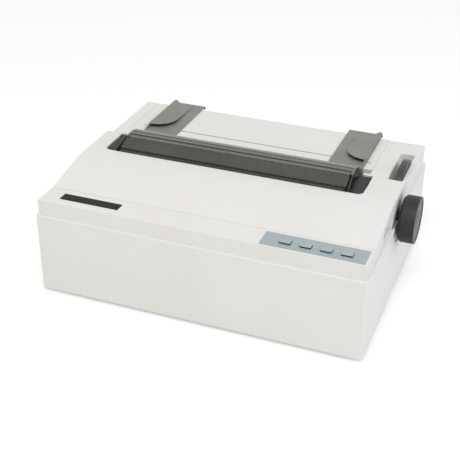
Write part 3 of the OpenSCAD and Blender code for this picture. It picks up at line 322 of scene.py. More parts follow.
def surface(name, first, second, blotch, rough, spread, grain, depth, **shader_values):
    """A plain solid finish.

    Its colour runs from the first hex to the second in clouds of blotch mm, its roughness
    varies by the spread in smaller ones, and grains of grain mm stand out by depth mm.
    """
    material, tree, shader, place = new_material(name)
    clouds = add_node(tree, "ShaderNodeTexNoise",
                      inputs={"Vector": place, "Scale": noise_scale(blotch), "Detail": 3.0,
                              "Roughness": 0.5})
    colour = two_tone(tree, clouds.outputs["Fac"], first, second)
    tree.links.new(colour, shader.inputs["Base Color"])
    handling = add_node(tree, "ShaderNodeTexNoise",
                        inputs={"Vector": place, "Scale": noise_scale(blotch * 0.4),
                                "Detail": 4.0})
    roughness = add_node(tree, "ShaderNodeMapRange",
                         inputs={"Value": handling.outputs["Fac"],
                                 "From Min": 0.3, "From Max": 0.7,
                                 "To Min": rough - spread, "To Max": rough + spread})
    tree.links.new(roughness.outputs["Result"], shader.inputs["Roughness"])
    if depth:
        grains = add_node(tree, "ShaderNodeTexNoise",
                          inputs={"Vector": place, "Scale": noise_scale(grain), "Detail": 2.0,
                                  "Roughness": 0.6})
        bump = add_node(tree, "ShaderNodeBump",
                        inputs={"Height": grains.outputs["Fac"], "Strength": 1.0,
                                "Distance": depth * MM})
        tree.links.new(bump.outputs["Normal"], shader.inputs["Normal"])
    set_shader(shader, **shader_values)
    return material


ABS_IOR = 1.53
ACETAL_IOR = 1.48
RUBBER_IOR = 1.52

# Moulded ABS with a spark-eroded mould grain: a dull, slightly warm white that
# breaks up reflections. The real grain is 0.15 mm; it is drawn at 0.9 mm to show.
abs_white = surface("abs_white_spark_eroded", "#E7E5E1", "#EAE8E4", blotch=90, rough=0.52,
                    spread=0.05, grain=0.9, depth=0.012, IOR=ABS_IOR, Specular_IOR_Level=0.35)
# The lower case is the same ABS from another batch, a shade greener
abs_lower = surface("abs_white_lower_case", "#E6E7E2", "#E9EAE6", blotch=120, rough=0.5,
                    spread=0.05, grain=0.9, depth=0.012, IOR=ABS_IOR, Specular_IOR_Level=0.35)
# Grey moulded ABS with the same grain, for the sheet guides
abs_grey = surface("abs_grey_spark_eroded", "#7F8079", "#868780", blotch=30, rough=0.5,
                   spread=0.06, grain=0.8, depth=0.02, IOR=ABS_IOR, Specular_IOR_Level=0.4)
# The guides' tongue rims and undersides, painted dark as the shade beneath the tongue, and
# without gloss
abs_grey_rim = surface("abs_grey_rim_painted_shade", "#2C2D2A", "#343532", blotch=20, rough=0.7,
                       spread=0.06, grain=0.8, depth=0.02, IOR=ABS_IOR, Specular_IOR_Level=0.1)
# Dark green-grey moulded ABS of the knob's drum, handled and so a little shiny
abs_dark = surface("abs_dark_handled", "#282C26", "#31352F", blotch=14, rough=0.45,
                   spread=0.08, grain=0.7, depth=0.02, IOR=ABS_IOR, Specular_IOR_Level=0.25)
# The same plastic on the lever, a shade paler than the drum, and on the knob's dished face,
# painted paler still as painted light on the face that looks out to the side
abs_lever = surface("abs_dark_lever", "#363A34", "#3F433D", blotch=14, rough=0.42,
                    spread=0.08, grain=0.7, depth=0.02, IOR=ABS_IOR, Specular_IOR_Level=0.35)
abs_knob_face = surface("abs_dark_knob_face_painted_light", "#434641", "#4D504A", blotch=12, rough=0.45,
                        spread=0.07, grain=0.7, depth=0.02, IOR=ABS_IOR,
                        Specular_IOR_Level=0.35)
# Black moulded plastic of the mechanism and the sockets
plastic_black = surface("abs_black_moulded", "#1B1C1B", "#242524", blotch=12, rough=0.4,
                        spread=0.08, grain=0.6, depth=0.01, IOR=ABS_IOR)
# Blue acetal of the parts that the user may touch inside
plastic_blue = surface("acetal_blue", "#2E5B8E", "#38689C", blotch=10, rough=0.35,
                       spread=0.06, grain=0.6, depth=0.006, IOR=ACETAL_IOR)
# Natural acetal gears: milky, faintly yellow, softly shiny
acetal_natural = surface("acetal_natural", "#DAD8CC", "#E3E1D6", blotch=8, rough=0.32,
                         spread=0.05, grain=0.6, depth=0.004, IOR=ACETAL_IOR,
                         Subsurface_Weight=0.1)
# Ground nitrile rubber: dead black-grey with a fine ground grain
rubber_ground = surface("nitrile_rubber_ground", "#262626", "#303030", blotch=9, rough=0.75,
                        spread=0.07, grain=0.7, depth=0.03, IOR=RUBBER_IOR)
# Moulded rubber of the feet: blacker and duller, with dust in its grain
rubber_foot = surface("rubber_foot_moulded", "#202020", "#2B2B2B", blotch=6, rough=0.8,
                      spread=0.06, grain=0.8, depth=0.03, IOR=RUBBER_IOR)
# Gloss black film of the bare badge plate: smooth, with hardly any sheen seen from above
badge_black = surface("badge_gloss_black", "#0B0B0B", "#101010", blotch=20, rough=0.3,
                      spread=0.04, grain=1.0, depth=0.0, IOR=1.5, Specular_IOR_Level=0.12)
# Resin-bonded boards: green solder resist over glass fibre, and bare brown phenolic paper
board_green = surface("board_green_resist", "#1E5A34", "#2A6B40", blotch=7, rough=0.35,
                      spread=0.1, grain=1.2, depth=0.02, IOR=1.55)
board_brown = surface("board_phenolic_brown", "#8A6234", "#997043", blotch=9, rough=0.5,
                      spread=0.08, grain=1.2, depth=0.02, IOR=1.5)
# Steels: metals keep the default IOR, and differ by grain and roughness
steel_ground = surface("steel_ground_shaft", "#B9BABB", "#C6C7C8", blotch=5, rough=0.22,
                       spread=0.05, grain=0.5, depth=0.002, Metallic=1.0)
steel_zinc = surface("steel_sheet_zinc_plated", "#A9ADAF", "#BCC0C1", blotch=11, rough=0.38,
                     spread=0.1, grain=1.5, depth=0.01, Metallic=1.0)
steel_screw = surface("steel_screw_zinc_plated", "#A4A6A8", "#B5B7B8", blotch=3, rough=0.32,
                      spread=0.06, grain=0.6, depth=0.004, Metallic=1.0)
motor_case = surface("steel_motor_case_pressed", "#8C8F91", "#9A9D9F", blotch=9, rough=0.36,
                     spread=0.08, grain=0.9, depth=0.006, Metallic=1.0)
# Sintered bronze with oil in its pores: a soft brown shine
bronze_bush = surface("bronze_sintered_oiled", "#A9814A", "#B89059", blotch=4, rough=0.4,
                      spread=0.08, grain=0.5, depth=0.01, Metallic=1.0)
# Cast aluminium under black anodising: dark grey, half metal, half oxide
head_alloy = surface("aluminium_cast_black_anodised", "#3A3C3E", "#46484A", blotch=6,
                     rough=0.45, spread=0.08, grain=0.8, depth=0.02, Metallic=0.6)


def film_material(name, first, second, speck):
    """Screen-printed polyester film: a fine mottle of ink under a satin hard coat."""
    material, tree, shader, place = new_material(name)
    # Specks of 0.2 mm ink grain, drawn at the given size so that they show
    grain = add_node(tree, "ShaderNodeTexNoise",
                     inputs={"Vector": place, "Scale": noise_scale(speck), "Detail": 2.0})
    tree.links.new(two_tone(tree, grain.outputs["Fac"], first, second, 0.3, 0.7),
                   shader.inputs["Base Color"])
    set_shader(shader, Roughness=0.38, IOR=1.6, Coat_Weight=0.15, Coat_Roughness=0.25)
    return material


film_panel = film_material("polyester_film_panel", "#96A5A8", "#A5B2B4", 2.2)
film_button = film_material("polyester_film_button", "#9DACAC", "#A9B6B5", 2.0)
# The buttons' sides, painted darker than their film as the shade in the gaps around them
button_side_shade = surface("abs_button_side_painted_shade", "#2C3838", "#354242", blotch=8, rough=0.5,
                      spread=0.05, grain=0.6, depth=0.01, IOR=ABS_IOR, Specular_IOR_Level=0.2)
# Clear green-tinted polystyrene lenses over dark lamps: smooth and glossy
lens_green = surface("polystyrene_lens_green", "#9DB59E", "#A8C0A8", blotch=2, rough=0.12,
                     spread=0.03, grain=0.6, depth=0.0, IOR=1.59)
# A dark strip in the seam between the front strip and the cover, painted shade that stands for
# the seam's shadow: no gloss at all
seam_shade_finish = surface("seam_painted_shade", "#766D66", "#81786F", blotch=3, rough=0.9,
                    spread=0.05, grain=0.8, depth=0.05, IOR=1.5, Specular_IOR_Level=0.1)


def smoked_material(name, first, second, alpha, shine):
    """Smoked clear acrylic: dark olive-grey, see-through by a little, gently uneven."""
    material, tree, shader, place = new_material(name)
    clouds = add_node(tree, "ShaderNodeTexNoise",
                      inputs={"Vector": place, "Scale": noise_scale(60), "Detail": 3.0})
    colour = two_tone(tree, clouds.outputs["Fac"], first, second)
    tree.links.new(colour, shader.inputs["Base Color"])
    # Broad swells that the flow in the mould leaves along the hood, 55 mm apart
    swells = add_node(tree, "ShaderNodeTexWave",
                      {"wave_type": "BANDS", "bands_direction": "Y"},
                      {"Vector": place, "Scale": wave_scale(55.5), "Distortion": 1.5,
                       "Detail": 1.0})
    bump = add_node(tree, "ShaderNodeBump",
                    inputs={"Height": swells.outputs["Fac"], "Strength": 0.35,
                            "Distance": 0.03 * MM})
    tree.links.new(bump.outputs["Normal"], shader.inputs["Normal"])
    set_shader(shader, Roughness=0.24, IOR=1.49, Specular_IOR_Level=shine, Alpha=alpha)
    return material


# The hood's front panel; the strip along its top, whose upward faces are painted paler as painted
# light; its edges and grooves, painted black as painted shade; and the wings, painted dark as
# painted shade for the dark inside under them
smoked_panel = smoked_material("acrylic_smoked_clear", "#42443D", "#4A4B44", 0.88, 0.38)
smoked_top = smoked_material("acrylic_smoked_top_painted_light", "#67685F", "#6E6F67", 0.95, 0.5)
smoked_edge = smoked_material("acrylic_smoked_edge_painted_shade", "#0E0D10", "#141317", 0.97, 0.06)
smoked_wing = smoked_material("acrylic_smoked_wing_painted_shade", "#262428", "#2D2A30", 0.95, 0.14)


def weave_material(name, first, second, pitch):
    """Woven nylon, soaked with ink: two crossing sets of threads."""
    material, tree, shader, place = new_material(name)
    threads = [add_node(tree, "ShaderNodeTexWave",
                        {"wave_type": "BANDS", "bands_direction": way},
                        {"Vector": place, "Scale": wave_scale(pitch)}).outputs["Fac"]
               for way in ("X", "Z")]
    cross = add_node(tree, "ShaderNodeMath", {"operation": "MULTIPLY"},
                     {0: threads[0], 1: threads[1]}).outputs[0]
    tree.links.new(two_tone(tree, cross, first, second, 0.1, 0.7), shader.inputs["Base Color"])
    bump = add_node(tree, "ShaderNodeBump",
                    inputs={"Height": cross, "Strength": 0.8, "Distance": 0.05 * MM})
    tree.links.new(bump.outputs["Normal"], shader.inputs["Normal"])
    set_shader(shader, Roughness=0.7)
    return material


# Ribbon threads are 0.1 mm apart; drawn at 1 mm so that they show
ribbon_nylon = weave_material("nylon_ribbon_inked", "#101012", "#26262A", 1.0)


def laminated_material(name, first, second, sheet):
    """Stacked iron sheets under varnish: fine lines along the stack."""
    material, tree, shader, place = new_material(name)
    layers = add_node(tree, "ShaderNodeTexWave",
                      {"wave_type": "BANDS", "bands_direction": "X"},
                      {"Vector": place, "Scale": wave_scale(sheet), "Distortion": 0.3})
    tree.links.new(two_tone(tree, layers.outputs["Fac"], first, second, 0.2, 0.8),
                   shader.inputs["Base Color"])
    bump = add_node(tree, "ShaderNodeBump",
                    inputs={"Height": layers.outputs["Fac"], "Strength": 0.7,
                            "Distance": 0.08 * MM})
    tree.links.new(bump.outputs["Normal"], shader.inputs["Normal"])
    set_shader(shader, Metallic=0.5, Roughness=0.42)
    return material


# Sheets are 0.5 mm thick; drawn at 1.5 mm so that they show
iron_laminated = laminated_material("iron_laminated_varnished", "#5B4630", "#7A6246", 1.5)

# ---------------------------------------------------------------- camera

# Fitted to the corners of the case in the photograph, whose width is 460 pixels
FOCAL_PX = 970.63
IMAGE_PX = 460
SENSOR = 36
CAMERA_PLACE = Vector((0.36695, -1.04536, 0.68641))
AZIMUTH, ELEVATION, ROLL = math.radians(20.67), math.radians(30.1), math.radians(0.55)

back = Vector((math.sin(AZIMUTH) * math.cos(ELEVATION),
               -math.cos(AZIMUTH) * math.cos(ELEVATION), math.sin(ELEVATION)))
level = Vector((math.cos(AZIMUTH), math.sin(AZIMUTH), 0))
upright = back.cross(level)
right = math.cos(ROLL) * level + math.sin(ROLL) * upright
up = math.cos(ROLL) * upright - math.sin(ROLL) * level
camera_data = bpy.data.cameras.new("camera")
camera_data.sensor_fit = "HORIZONTAL"
camera_data.sensor_width = SENSOR
camera_data.lens = FOCAL_PX / IMAGE_PX * SENSOR
camera_data.clip_start = 0.05
camera = bpy.data.objects.new("camera", camera_data)
bpy.context.scene.collection.objects.link(camera)
turn = Matrix((right, up, back)).transposed().to_4x4()
camera.matrix_world = Matrix.Translation(CAMERA_PLACE) @ turn
bpy.context.scene.camera = camera

# ---------------------------------------------------------------- case

# Radius on the edges of the case's three mouldings
CASE_ROUND = 0.7
# Where the cover's slope meets its flat top, and the radius of that bend
BEND_Y, COVER_Z = 111.0, 137.0
BEND_R = 14

lower_shell = cast_of("lower_case", "lower_shell", whole_faces=False)
soften_edges(lower_shell, CASE_ROUND)
finish_piece(lower_shell, "root", "case_lower", abs_lower, "lower_case")

upper_shell = cast_of("upper_case", "upper_shell")
soften_edges(upper_shell, CASE_ROUND)
finish_piece(upper_shell, "root", "case_upper", abs_white, "upper_case")

cover_shell = cast_of("front_cover", "cover_shell")
round_edges(cover_shell, lambda p: near(p.y, BEND_Y, 0.3) and near(p.z, COVER_Z, 0.3),
            BEND_R, 5)
soften_edges(cover_shell, CASE_ROUND)
finish_piece(cover_shell, "front_cover", "case_upper", abs_white, "front_cover")

table_board = cast_of("sheet_table", "table_board")
soften_edges(table_board, 0.5)
finish_piece(table_board, "table", "case_upper", abs_white, "sheet_table")

# ---------------------------------------------------------------- smoked hood

HOOD_X0, HOOD_X1 = -165.5, 147.0
HOOD_Y0, HOOD_Y1 = 138.3, 192.5
END_LEAN = 3.3
HOOD_T = 2.0
# The side view, from the wings' level up the front panel to the crease, along the top strip
# to the ridge, and down its rear fall
WING_Z = 136.2
PANEL_Z = 139.5
CREASE_Y, CREASE_Z = 164.0, 147.5
RIDGE_Y, RIDGE_Z = 181.0, 149.0
REAR_Z = 146.0
# The front flange and the groove behind it
FLANGE_Y, FLANGE_Z = HOOD_Y0 + 3.2, 138.9
GROOVE_Y, GROOVE_Z = HOOD_Y0 + 4.2, 138.3
# A groove near each end: how far in it lies, and its width
END_GROOVE, END_GROOVE_W = 7.2, 1.3
ENDS = ((-1, HOOD_X0), (1, HOOD_X1))
# Faces this near an end and smaller than this, in square metres, belong to its groove
END_ZONE = 8.8
GROOVE_FACE = 4e-5
# Places of the clip heads, two on the flange and four on the crease
CLIPS = [Vector((x, 139.9, 138.9)) for x in (-44, 28)]
CLIPS += [Vector((x, 163.2, 147.4)) for x in (-57, -18, 38, 76)]


def hood_block(name, x0, x1, rise=0.0):
    """A block with the hood's outer planes; rise lifts the front panel's plane."""
    block = slab(name, x0, x1, HOOD_Y0, HOOD_Y1, WING_Z, RIDGE_Z)
    slice_above(block, HOOD_Y0, PANEL_Z + rise, CREASE_Y, CREASE_Z + rise)
    slice_above(block, CREASE_Y, CREASE_Z, RIDGE_Y, RIDGE_Z)
    slice_above(block, RIDGE_Y, RIDGE_Z, HOOD_Y1, REAR_Z)
    for side, x in ENDS:
        slice_off(block, (x, 0, WING_Z), (side * (RIDGE_Z - WING_Z), 0, END_LEAN))
    return block


def build_hood():
    shell = hood_block("smoked_hood", HOOD_X0, HOOD_X1)
    # Open underneath
    pick(shell, "FACE", lambda centre, normal: normal.z < -0.9)
    bpy.ops.mesh.delete(type="FACE")
    done()
    apply(shell, "SOLIDIFY", thickness=HOOD_T * MM, offset=-1, use_even_offset=True)
    # The tops of all the cutters stand clear of the hood
    step = slab("cut", HOOD_X0 - 1, HOOD_X1 + 1, HOOD_Y0 - 1, FLANGE_Y, FLANGE_Z, 143)
    groove = slab("cut", HOOD_X0 + 3, HOOD_X1 - 3, FLANGE_Y, GROOVE_Y, GROOVE_Z, 143)
    # A wide channel and a fine line along the top strip
    channel = slab("cut", HOOD_X0 + 6, HOOD_X1 - 6, 168.2, 172.4, 147.0, 150)
    slice_below(channel, 168.2, 146.7, 169.2, 146.787)
    line = slab("cut", HOOD_X0 + 6, HOOD_X1 - 6, 178.6, 179.8, 148.2, 150)
    # The grooves near the ends follow the panel and the top strip
    end_grooves = []
    for side, x in ENDS:
        inner = x - side * END_GROOVE
        cut = slab("cut", inner, inner + side * END_GROOVE_W, HOOD_Y0 + 7, 188, 140, 151)
        slice_below(cut, HOOD_Y0, PANEL_Z - 0.8, CREASE_Y, CREASE_Z - 0.8)
        slice_below(cut, CREASE_Y, CREASE_Z - 0.9, RIDGE_Y, RIDGE_Z - 0.9)
        end_grooves.append(cut)
    carve(shell, step, groove, channel, line, *end_grooves)
    soften_edges(shell, 0.45)
    # A clip head is 2.2 mm wide, 1.6 mm deep and stands 0.5 mm proud
    first = CLIPS[0]
    clip = slab("clip", first.x - 1.1, first.x + 1.1, first.y - 0.8, first.y + 0.8,
                first.z - 0.4, first.z + 0.5)
    soften_edges(clip, 0.25)
    join(shell, clip, *[copy_of(clip, place - first) for place in CLIPS[1:]])
    return shell


def gets_painted_shade(centre, face):
    """Whether a face of the hood gets painted shade: on an end cap, in an end groove or in the
    front groove.
    """
    on_cap = abs(face.normal.x) > 0.5
    from_end = min(centre.x - HOOD_X0, HOOD_X1 - centre.x)
    in_end_groove = from_end < END_ZONE and face.area < GROOVE_FACE
    in_front_groove = FLANGE_Y - 0.3 < centre.y < GROOVE_Y + 0.4 and centre.z < FLANGE_Z + 0.05
    return on_cap or in_end_groove or in_front_groove


hood = build_hood()
finish_piece(hood, "hood", "smoked", smoked_panel, "acoustic_cover")
# Upward faces of the top strip are painted paler as painted light
paint_faces(hood, smoked_top,
            lambda centre, face: centre.y > CREASE_Y - 0.5 and face.normal.z > 0.9)
# End caps and grooves are painted near black as painted shade
paint_faces(hood, smoked_edge, gets_painted_shade)

# Black bands at the panel's two ends, painted shade for the dark inside seen through them there
bands = [hood_block("hood_end_shade_bands", HOOD_X0 + 0.1, HOOD_X0 + 4.6, 0.3),
         hood_block("hood_end_shade_bands", HOOD_X1 - 6.0, HOOD_X1 - 3.4, 0.3)]
for band in bands:
    slice_off(band, (0, CREASE_Y - 0.6, 0), (0, 1, 0))
    soften_edges(band, 0.15, 1)
join(*bands)
finish_piece(bands[0], "hood", "smoked", smoked_edge, "acoustic_cover")

# The outer edges of the wings, and of their rear lugs, which reach the opening's edge
WING_OUTER = {-1: -180.3, 1: 161.8}
LUG_OUTER = {-1: -181.7, 1: 163.2}
LUG_Y0, LUG_Y1 = 181.5, 187.7
# The hinge pins stand in the cover beside the lugs
PIN_R, PIN_L, PIN_Y, PIN_Z = 1.5, 3.5, 185, 134.6


def build_wing(side):
    """The flat wing beside the hood, with its rear lug."""
    inner = HOOD_X1 - 0.1 if side > 0 else HOOD_X0 + 0.1
    outer = WING_OUTER[side]
    wing = slab("wing", inner, outer, HOOD_Y0, LUG_Y1, WING_Z - HOOD_T, WING_Z)
    round_edges(wing, lambda p: near(p.x, outer) and p.y < HOOD_Y0 + 0.1, 6.5, 8)
    fuse(wing, slab("lug", outer - side, LUG_OUTER[side], LUG_Y0, LUG_Y1,
                    WING_Z - HOOD_T, WING_Z))
    soften_edges(wing, 0.4)
    return wing


wings = build_wing(-1)
join(wings, build_wing(1))
wings.name = "smoked_hood_wings"
join(wings, *[drum("pin", PIN_R, (x, PIN_Y, PIN_Z), PIN_L, 16) for x in (164.5, -182.75)])
# The wings are painted dark as painted shade for the dark inside under them
finish_piece(wings, "hood", "smoked", smoked_wing, "acoustic_cover")

# ---------------------------------------------------------------- sheet guides

GUIDE_W = 46.5
GUIDE_T = 1.8
GUIDE_TOP = 131.9
# The bed's side view, y and z, from its front lip over its top to its rear lip
LIP_START = (218, 119)
GUIDE_SECTION = [(218, 129.6), (218.5, 130.9), (219.7, 131.7), (221.3, GUIDE_TOP),
                 (326.5, GUIDE_TOP), (329, 131.4), (330.4, 130.2), (331, 128.4), (331, 126.4)]
# The side wall, whose top falls a little towards the back
WALL_T = 2.3
WALL_FALL = 0.4
# The tongue over the sheet's edge: its reach from the wall's outer face, its round front
# corner, and the width over which it twists down to the bed
TONGUE_Y0, TONGUE_Y1, TONGUE_TOP = 234, 326, 137.0
TONGUE_W = 31
TONGUE_R = 28
TWIST_W = 9


def build_bed(name, outer, inner):
    """The bed starts as one narrow face of the front lip and is drawn out along its section."""
    height = 2
    deselect()
    bpy.ops.mesh.primitive_plane_add(
        size=1, location=at((outer + inner) / 2, LIP_START[0], LIP_START[1] - height / 2),
        rotation=(math.pi / 2, 0, 0))
    bed = bpy.context.object
    bed.name = name
    bed.scale = (GUIDE_W * MM, height * MM, 1)
    freeze(bed)
    pick(bed, "EDGE", lambda p: p.z > LIP_START[1] - 0.1)
    here = LIP_START
    for y, z in GUIDE_SECTION:
        bpy.ops.mesh.extrude_region_move(
            TRANSFORM_OT_translate={"value": (0, (y - here[0]) * MM, (z - here[1]) * MM)})
        here = (y, z)
    bpy.ops.mesh.select_all(action="SELECT")
    bpy.ops.mesh.normals_make_consistent(inside=False)
    done()
    top = max(bed.data.polygons, key=lambda face: face.area)
    if top.normal.z < 0:
        bed.data.flip_normals()
    apply(bed, "SOLIDIFY", thickness=GUIDE_T * MM, offset=-1, use_even_offset=True)
    soften_edges(bed, 0.4)
    return bed


def build_tongue(outer, side):
    """The tongue, level with the wall along the wall, and falling to the bed on its free side."""
    free_x = outer - side * TONGUE_W
    tongue = slab("tongue", outer - side * (WALL_T - 0.25), free_x, TONGUE_Y0, TONGUE_Y1,
                  TONGUE_TOP - GUIDE_T, TONGUE_TOP)
    round_edges(tongue, lambda p: near(p.x, free_x) and p.y < TONGUE_Y0 + 0.1, TONGUE_R, 14)
    for reach in range(4, 17, 2):
        slice_off(tongue, (outer - side * reach, 0, 0), (1, 0, 0), keep_both=True)
    # Each column of points turns about the front edge, by more the further it is from the wall
    columns = sorted({round(abs(mm(v.co).x - outer), 1) for v in tongue.data.vertices})
    for reach in columns:
        share = min(1, max(0, (reach - WALL_T) / TWIST_W))
        share = share * share * (3 - 2 * share)
        drop = WALL_FALL + share * (TONGUE_TOP - GUIDE_TOP - WALL_FALL)
        pick(tongue, "VERT", lambda p: near(abs(p.x - outer), reach, 0.06))
        bpy.ops.transform.rotate(value=math.atan2(drop, TONGUE_Y1 - TONGUE_Y0),
                                 orient_axis="X",
                                 center_override=at(0, TONGUE_Y0, TONGUE_TOP))
        done()
    soften_edges(tongue, 0.3)
    return tongue


def build_guide(name, outer, side):
    """One moulding: bed, side wall and the tongue over the sheet's edge.

    Side is 1 where the wall is on the right; outer is the wall's outer face.
    """
    bed = build_bed(name, outer, outer - side * GUIDE_W)
    # The wall rises at its front, falls away at its back, and is round along its outer top
    wall_end = TONGUE_TOP - WALL_FALL
    wall = slab("wall", outer - side * WALL_T, outer, 221.5, 329.5, 130.2, 138.6)
    slice_above(wall, 221.5, 132.0, 241, 136.6)
    slice_above(wall, 241, TONGUE_TOP, 326, wall_end)
    slice_above(wall, 325, wall_end, 329, wall_end - 5)
    round_edges(wall, lambda p: near(p.x, outer) and p.z > wall_end - 0.2, 2.0, 5)
    soften_edges(wall, 0.4)
    join(bed, wall, build_tongue(outer, side))
    return bed


for name, node, outer, side in (("guide_left", "sheet_guide_left", -165.0, -1),
                                ("guide_right", "sheet_guide_right", 143.5, 1)):
    guide = build_guide(name, outer, side)
    finish_piece(guide, name, "guide_grey", abs_grey, node)
    # The tongue's rim and underside, painted dark as painted shade
    paint_faces(guide, abs_grey_rim,
                lambda centre, face: centre.z > GUIDE_TOP + 1.1 and face.normal.z < 0.3
                and abs(centre.x - outer) > 4)

# ---------------------------------------------------------------- platen knob and paper lever

KNOB_Y, KNOB_Z, KNOB_R = 160.4, 103.5, 29.3
# The inboard chamfer starts 1.2 mm inboard of the knob's solid
KNOB_X0, KNOB_X1 = 209.3, 229.5
# Grip flutes round the drum; each is a shallow cut by a thin drum outside the knob's surface
FLUTES = 48
FLUTE_R, FLUTE_OUT = 0.75, 0.45
FLUTE_X0, FLUTE_X1 = KNOB_X0 + 4, KNOB_X1 - 2
HUB_R, HUB_X, HUB_L = 6.5, 206.5, 9


def build_knob():
    """A drum with a chamfer towards the case, a fluted band and a dished face."""
    knob = drum("platen_knob_drum", KNOB_R, ((KNOB_X0 + KNOB_X1) / 2, KNOB_Y, KNOB_Z),
                KNOB_X1 - KNOB_X0, 96)
    round_edges(knob, lambda p: p.x < KNOB_X0 + 0.1, 3.2, 1)
    # Dished face: a rim, a fall, and a flat floor with a boss
    pick(knob, "FACE", lambda centre, normal: normal.x > 0.9)
    bpy.ops.mesh.inset(thickness=2.2 * MM)
    bpy.ops.mesh.inset(thickness=1.0 * MM)
    bpy.ops.transform.translate(value=(-0.9 * MM, 0, 0))
    bpy.ops.mesh.inset(thickness=14 * MM)
    bpy.ops.mesh.inset(thickness=1.2 * MM)
    bpy.ops.transform.translate(value=(0.6 * MM, 0, 0))
    done()
    reach = KNOB_R + FLUTE_OUT
    flute = drum("flute", FLUTE_R, ((FLUTE_X0 + FLUTE_X1) / 2, KNOB_Y + reach, KNOB_Z),
                 FLUTE_X1 - FLUTE_X0, 10)
    copies = []
    for i in range(1, FLUTES):
        turn = 2 * math.pi * i / FLUTES
        copies.append(copy_of(flute, (0, reach * (math.cos(turn) - 1), reach * math.sin(turn))))
    join(flute, *copies)
    carve(knob, flute)
    soften_edges(knob, 0.5, 2, 40)
    join(knob, drum("hub", HUB_R, (HUB_X, KNOB_Y, KNOB_Z), HUB_L, 32))
    return knob


knob = build_knob()
finish_piece(knob, "platen", "dark_grey", abs_dark, "platen_knob")
# The dished face is painted paler as painted light
paint_faces(knob, abs_knob_face,
            lambda centre, face: face.normal.x > 0.5 and centre.x > KNOB_X1 - 4.5
            and math.hypot(centre.y - KNOB_Y, centre.z - KNOB_Z) < KNOB_R - 0.6)

# Half rings that close the mouth of the knob's pocket. The upper one is the cover's and lifts
# with it, so its hole is wide enough to pass the shaft; the lower one is the case's.
LINER_R, LINER_T = 30.7, 1.4
for side, x, hole, body, slot, material in (
        (1, 203.4, 12, "front_cover", "case_upper", abs_white),
        (-1, 205.4, 7.5, "root", "case_lower", abs_lower)):
    liner = drum("pocket_liner_" + body, LINER_R, (x, KNOB_Y, KNOB_Z), LINER_T, 96)
    slice_off(liner, (0, KNOB_Y, KNOB_Z + side * 0.6), (0, 0, -side))
    carve(liner, drum("cut", hole, (x, KNOB_Y, KNOB_Z), 4, 48))
    soften_edges(liner, 0.2, 1)
    finish_piece(liner, body, slot, material)

# The grip that shows is narrower than the lever's solid
LEVER_X0, LEVER_X1 = 185.9, 198.9
GRIP_X0, GRIP_X1 = 188.6, 197.2

lever = cast_of("paper_lever", "paper_lever_grip")
for solid_x, grip_x in ((LEVER_X0, GRIP_X0), (LEVER_X1, GRIP_X1)):
    pick(lever, "VERT", lambda p: near(p.x, solid_x, 0.05))
    bpy.ops.transform.translate(value=((grip_x - solid_x) * MM, 0, 0))
    done()
soften_edges(lever, 0.6)
finish_piece(lever, "lever", "dark_grey", abs_lever, "paper_lever")

# ---------------------------------------------------------------- small fittings of the case

# The tops of the fittings in the deck lie just under the deck's own
DECK_TOP = 129.75

# The slot's right edge stands close to the narrow grip
slot_edge = slab("lever_slot_edge", GRIP_X1 + 0.5, 200.2, 204.9, 283.4, 114, DECK_TOP)
soften_edges(slot_edge, 0.2, 1)
finish_piece(slot_edge, "root", "case_upper", abs_white)

# Strips that make the seams beside the table shallow, as the photograph shows them
seams = [slab("table_seam", x, x + 0.4, 224, 318.4, 127.5, 129.3) for x in (155.6, -182.0)]
join(*seams)
finish_piece(seams[0], "root", "case_upper", abs_white)

# The table's cross groove is shallow, and its last stretches, under the guides, are level
groove_fill = slab("table_groove_fill", -174.9, 149.4, 240.05, 241.15, 129.2, 129.65)
join(groove_fill, *[slab("plug", x0, x1, 240.02, 241.18, 129.2, 129.98)
                    for x0, x1 in ((142.5, 149.48), (-174.98, -164))])
finish_piece(groove_fill, "table", "case_upper", abs_white)

# A strip of painted shade in the seam between the front strip and the cover
seam_shade_strip = slab("cover_seam_shade", -203.8, 203.8, 40.02, 40.38, 119, 123.3)
finish_piece(seam_shade_strip, "root", None, seam_shade_finish)

# Floors of the two finger recesses, level with the lower case's ledge
floors = [slab("grip_floor", x0, x0 + 8.9, 80, 129, 102.4, 103.35) for x0 in (196.3, -205.2)]
join(*floors)
finish_piece(floors[0], "root", "case_lower", abs_lower)

# Deck corner in front of the table's right end, short of the table's and guide's sweep
corner = slab("deck_corner", 147.5, 156.2, 204.7, 210.6, 125, DECK_TOP)
soften_edges(corner, 0.5)
finish_piece(corner, "root", "case_upper", abs_white)

# ---------------------------------------------------------------- panel, buttons, badge

panel = cast_of("control_panel", "control_panel_film")
soften_edges(panel, 0.15, 1)
finish_piece(panel, "root", "panel_film", film_panel, "control_panel")

badge = cast_of("badge_plate", "badge_plate_bare")
soften_edges(badge, 0.3)
finish_piece(badge, "root", "badge_black", badge_black, "badge_plate")

for node in ("button_1", "button_2", "button_3", "button_4"):
    button = cast_of(node, node + "_cap")
    soften_edges(button, 0.35)
    finish_piece(button, node, "panel_film", film_button, node)
    # The sides are painted dark as painted shade
    paint_faces(button, button_side_shade, lambda centre, face: face.normal.z < 0.7)

# ---------------------------------------------------------------- CAD nodes with their materials

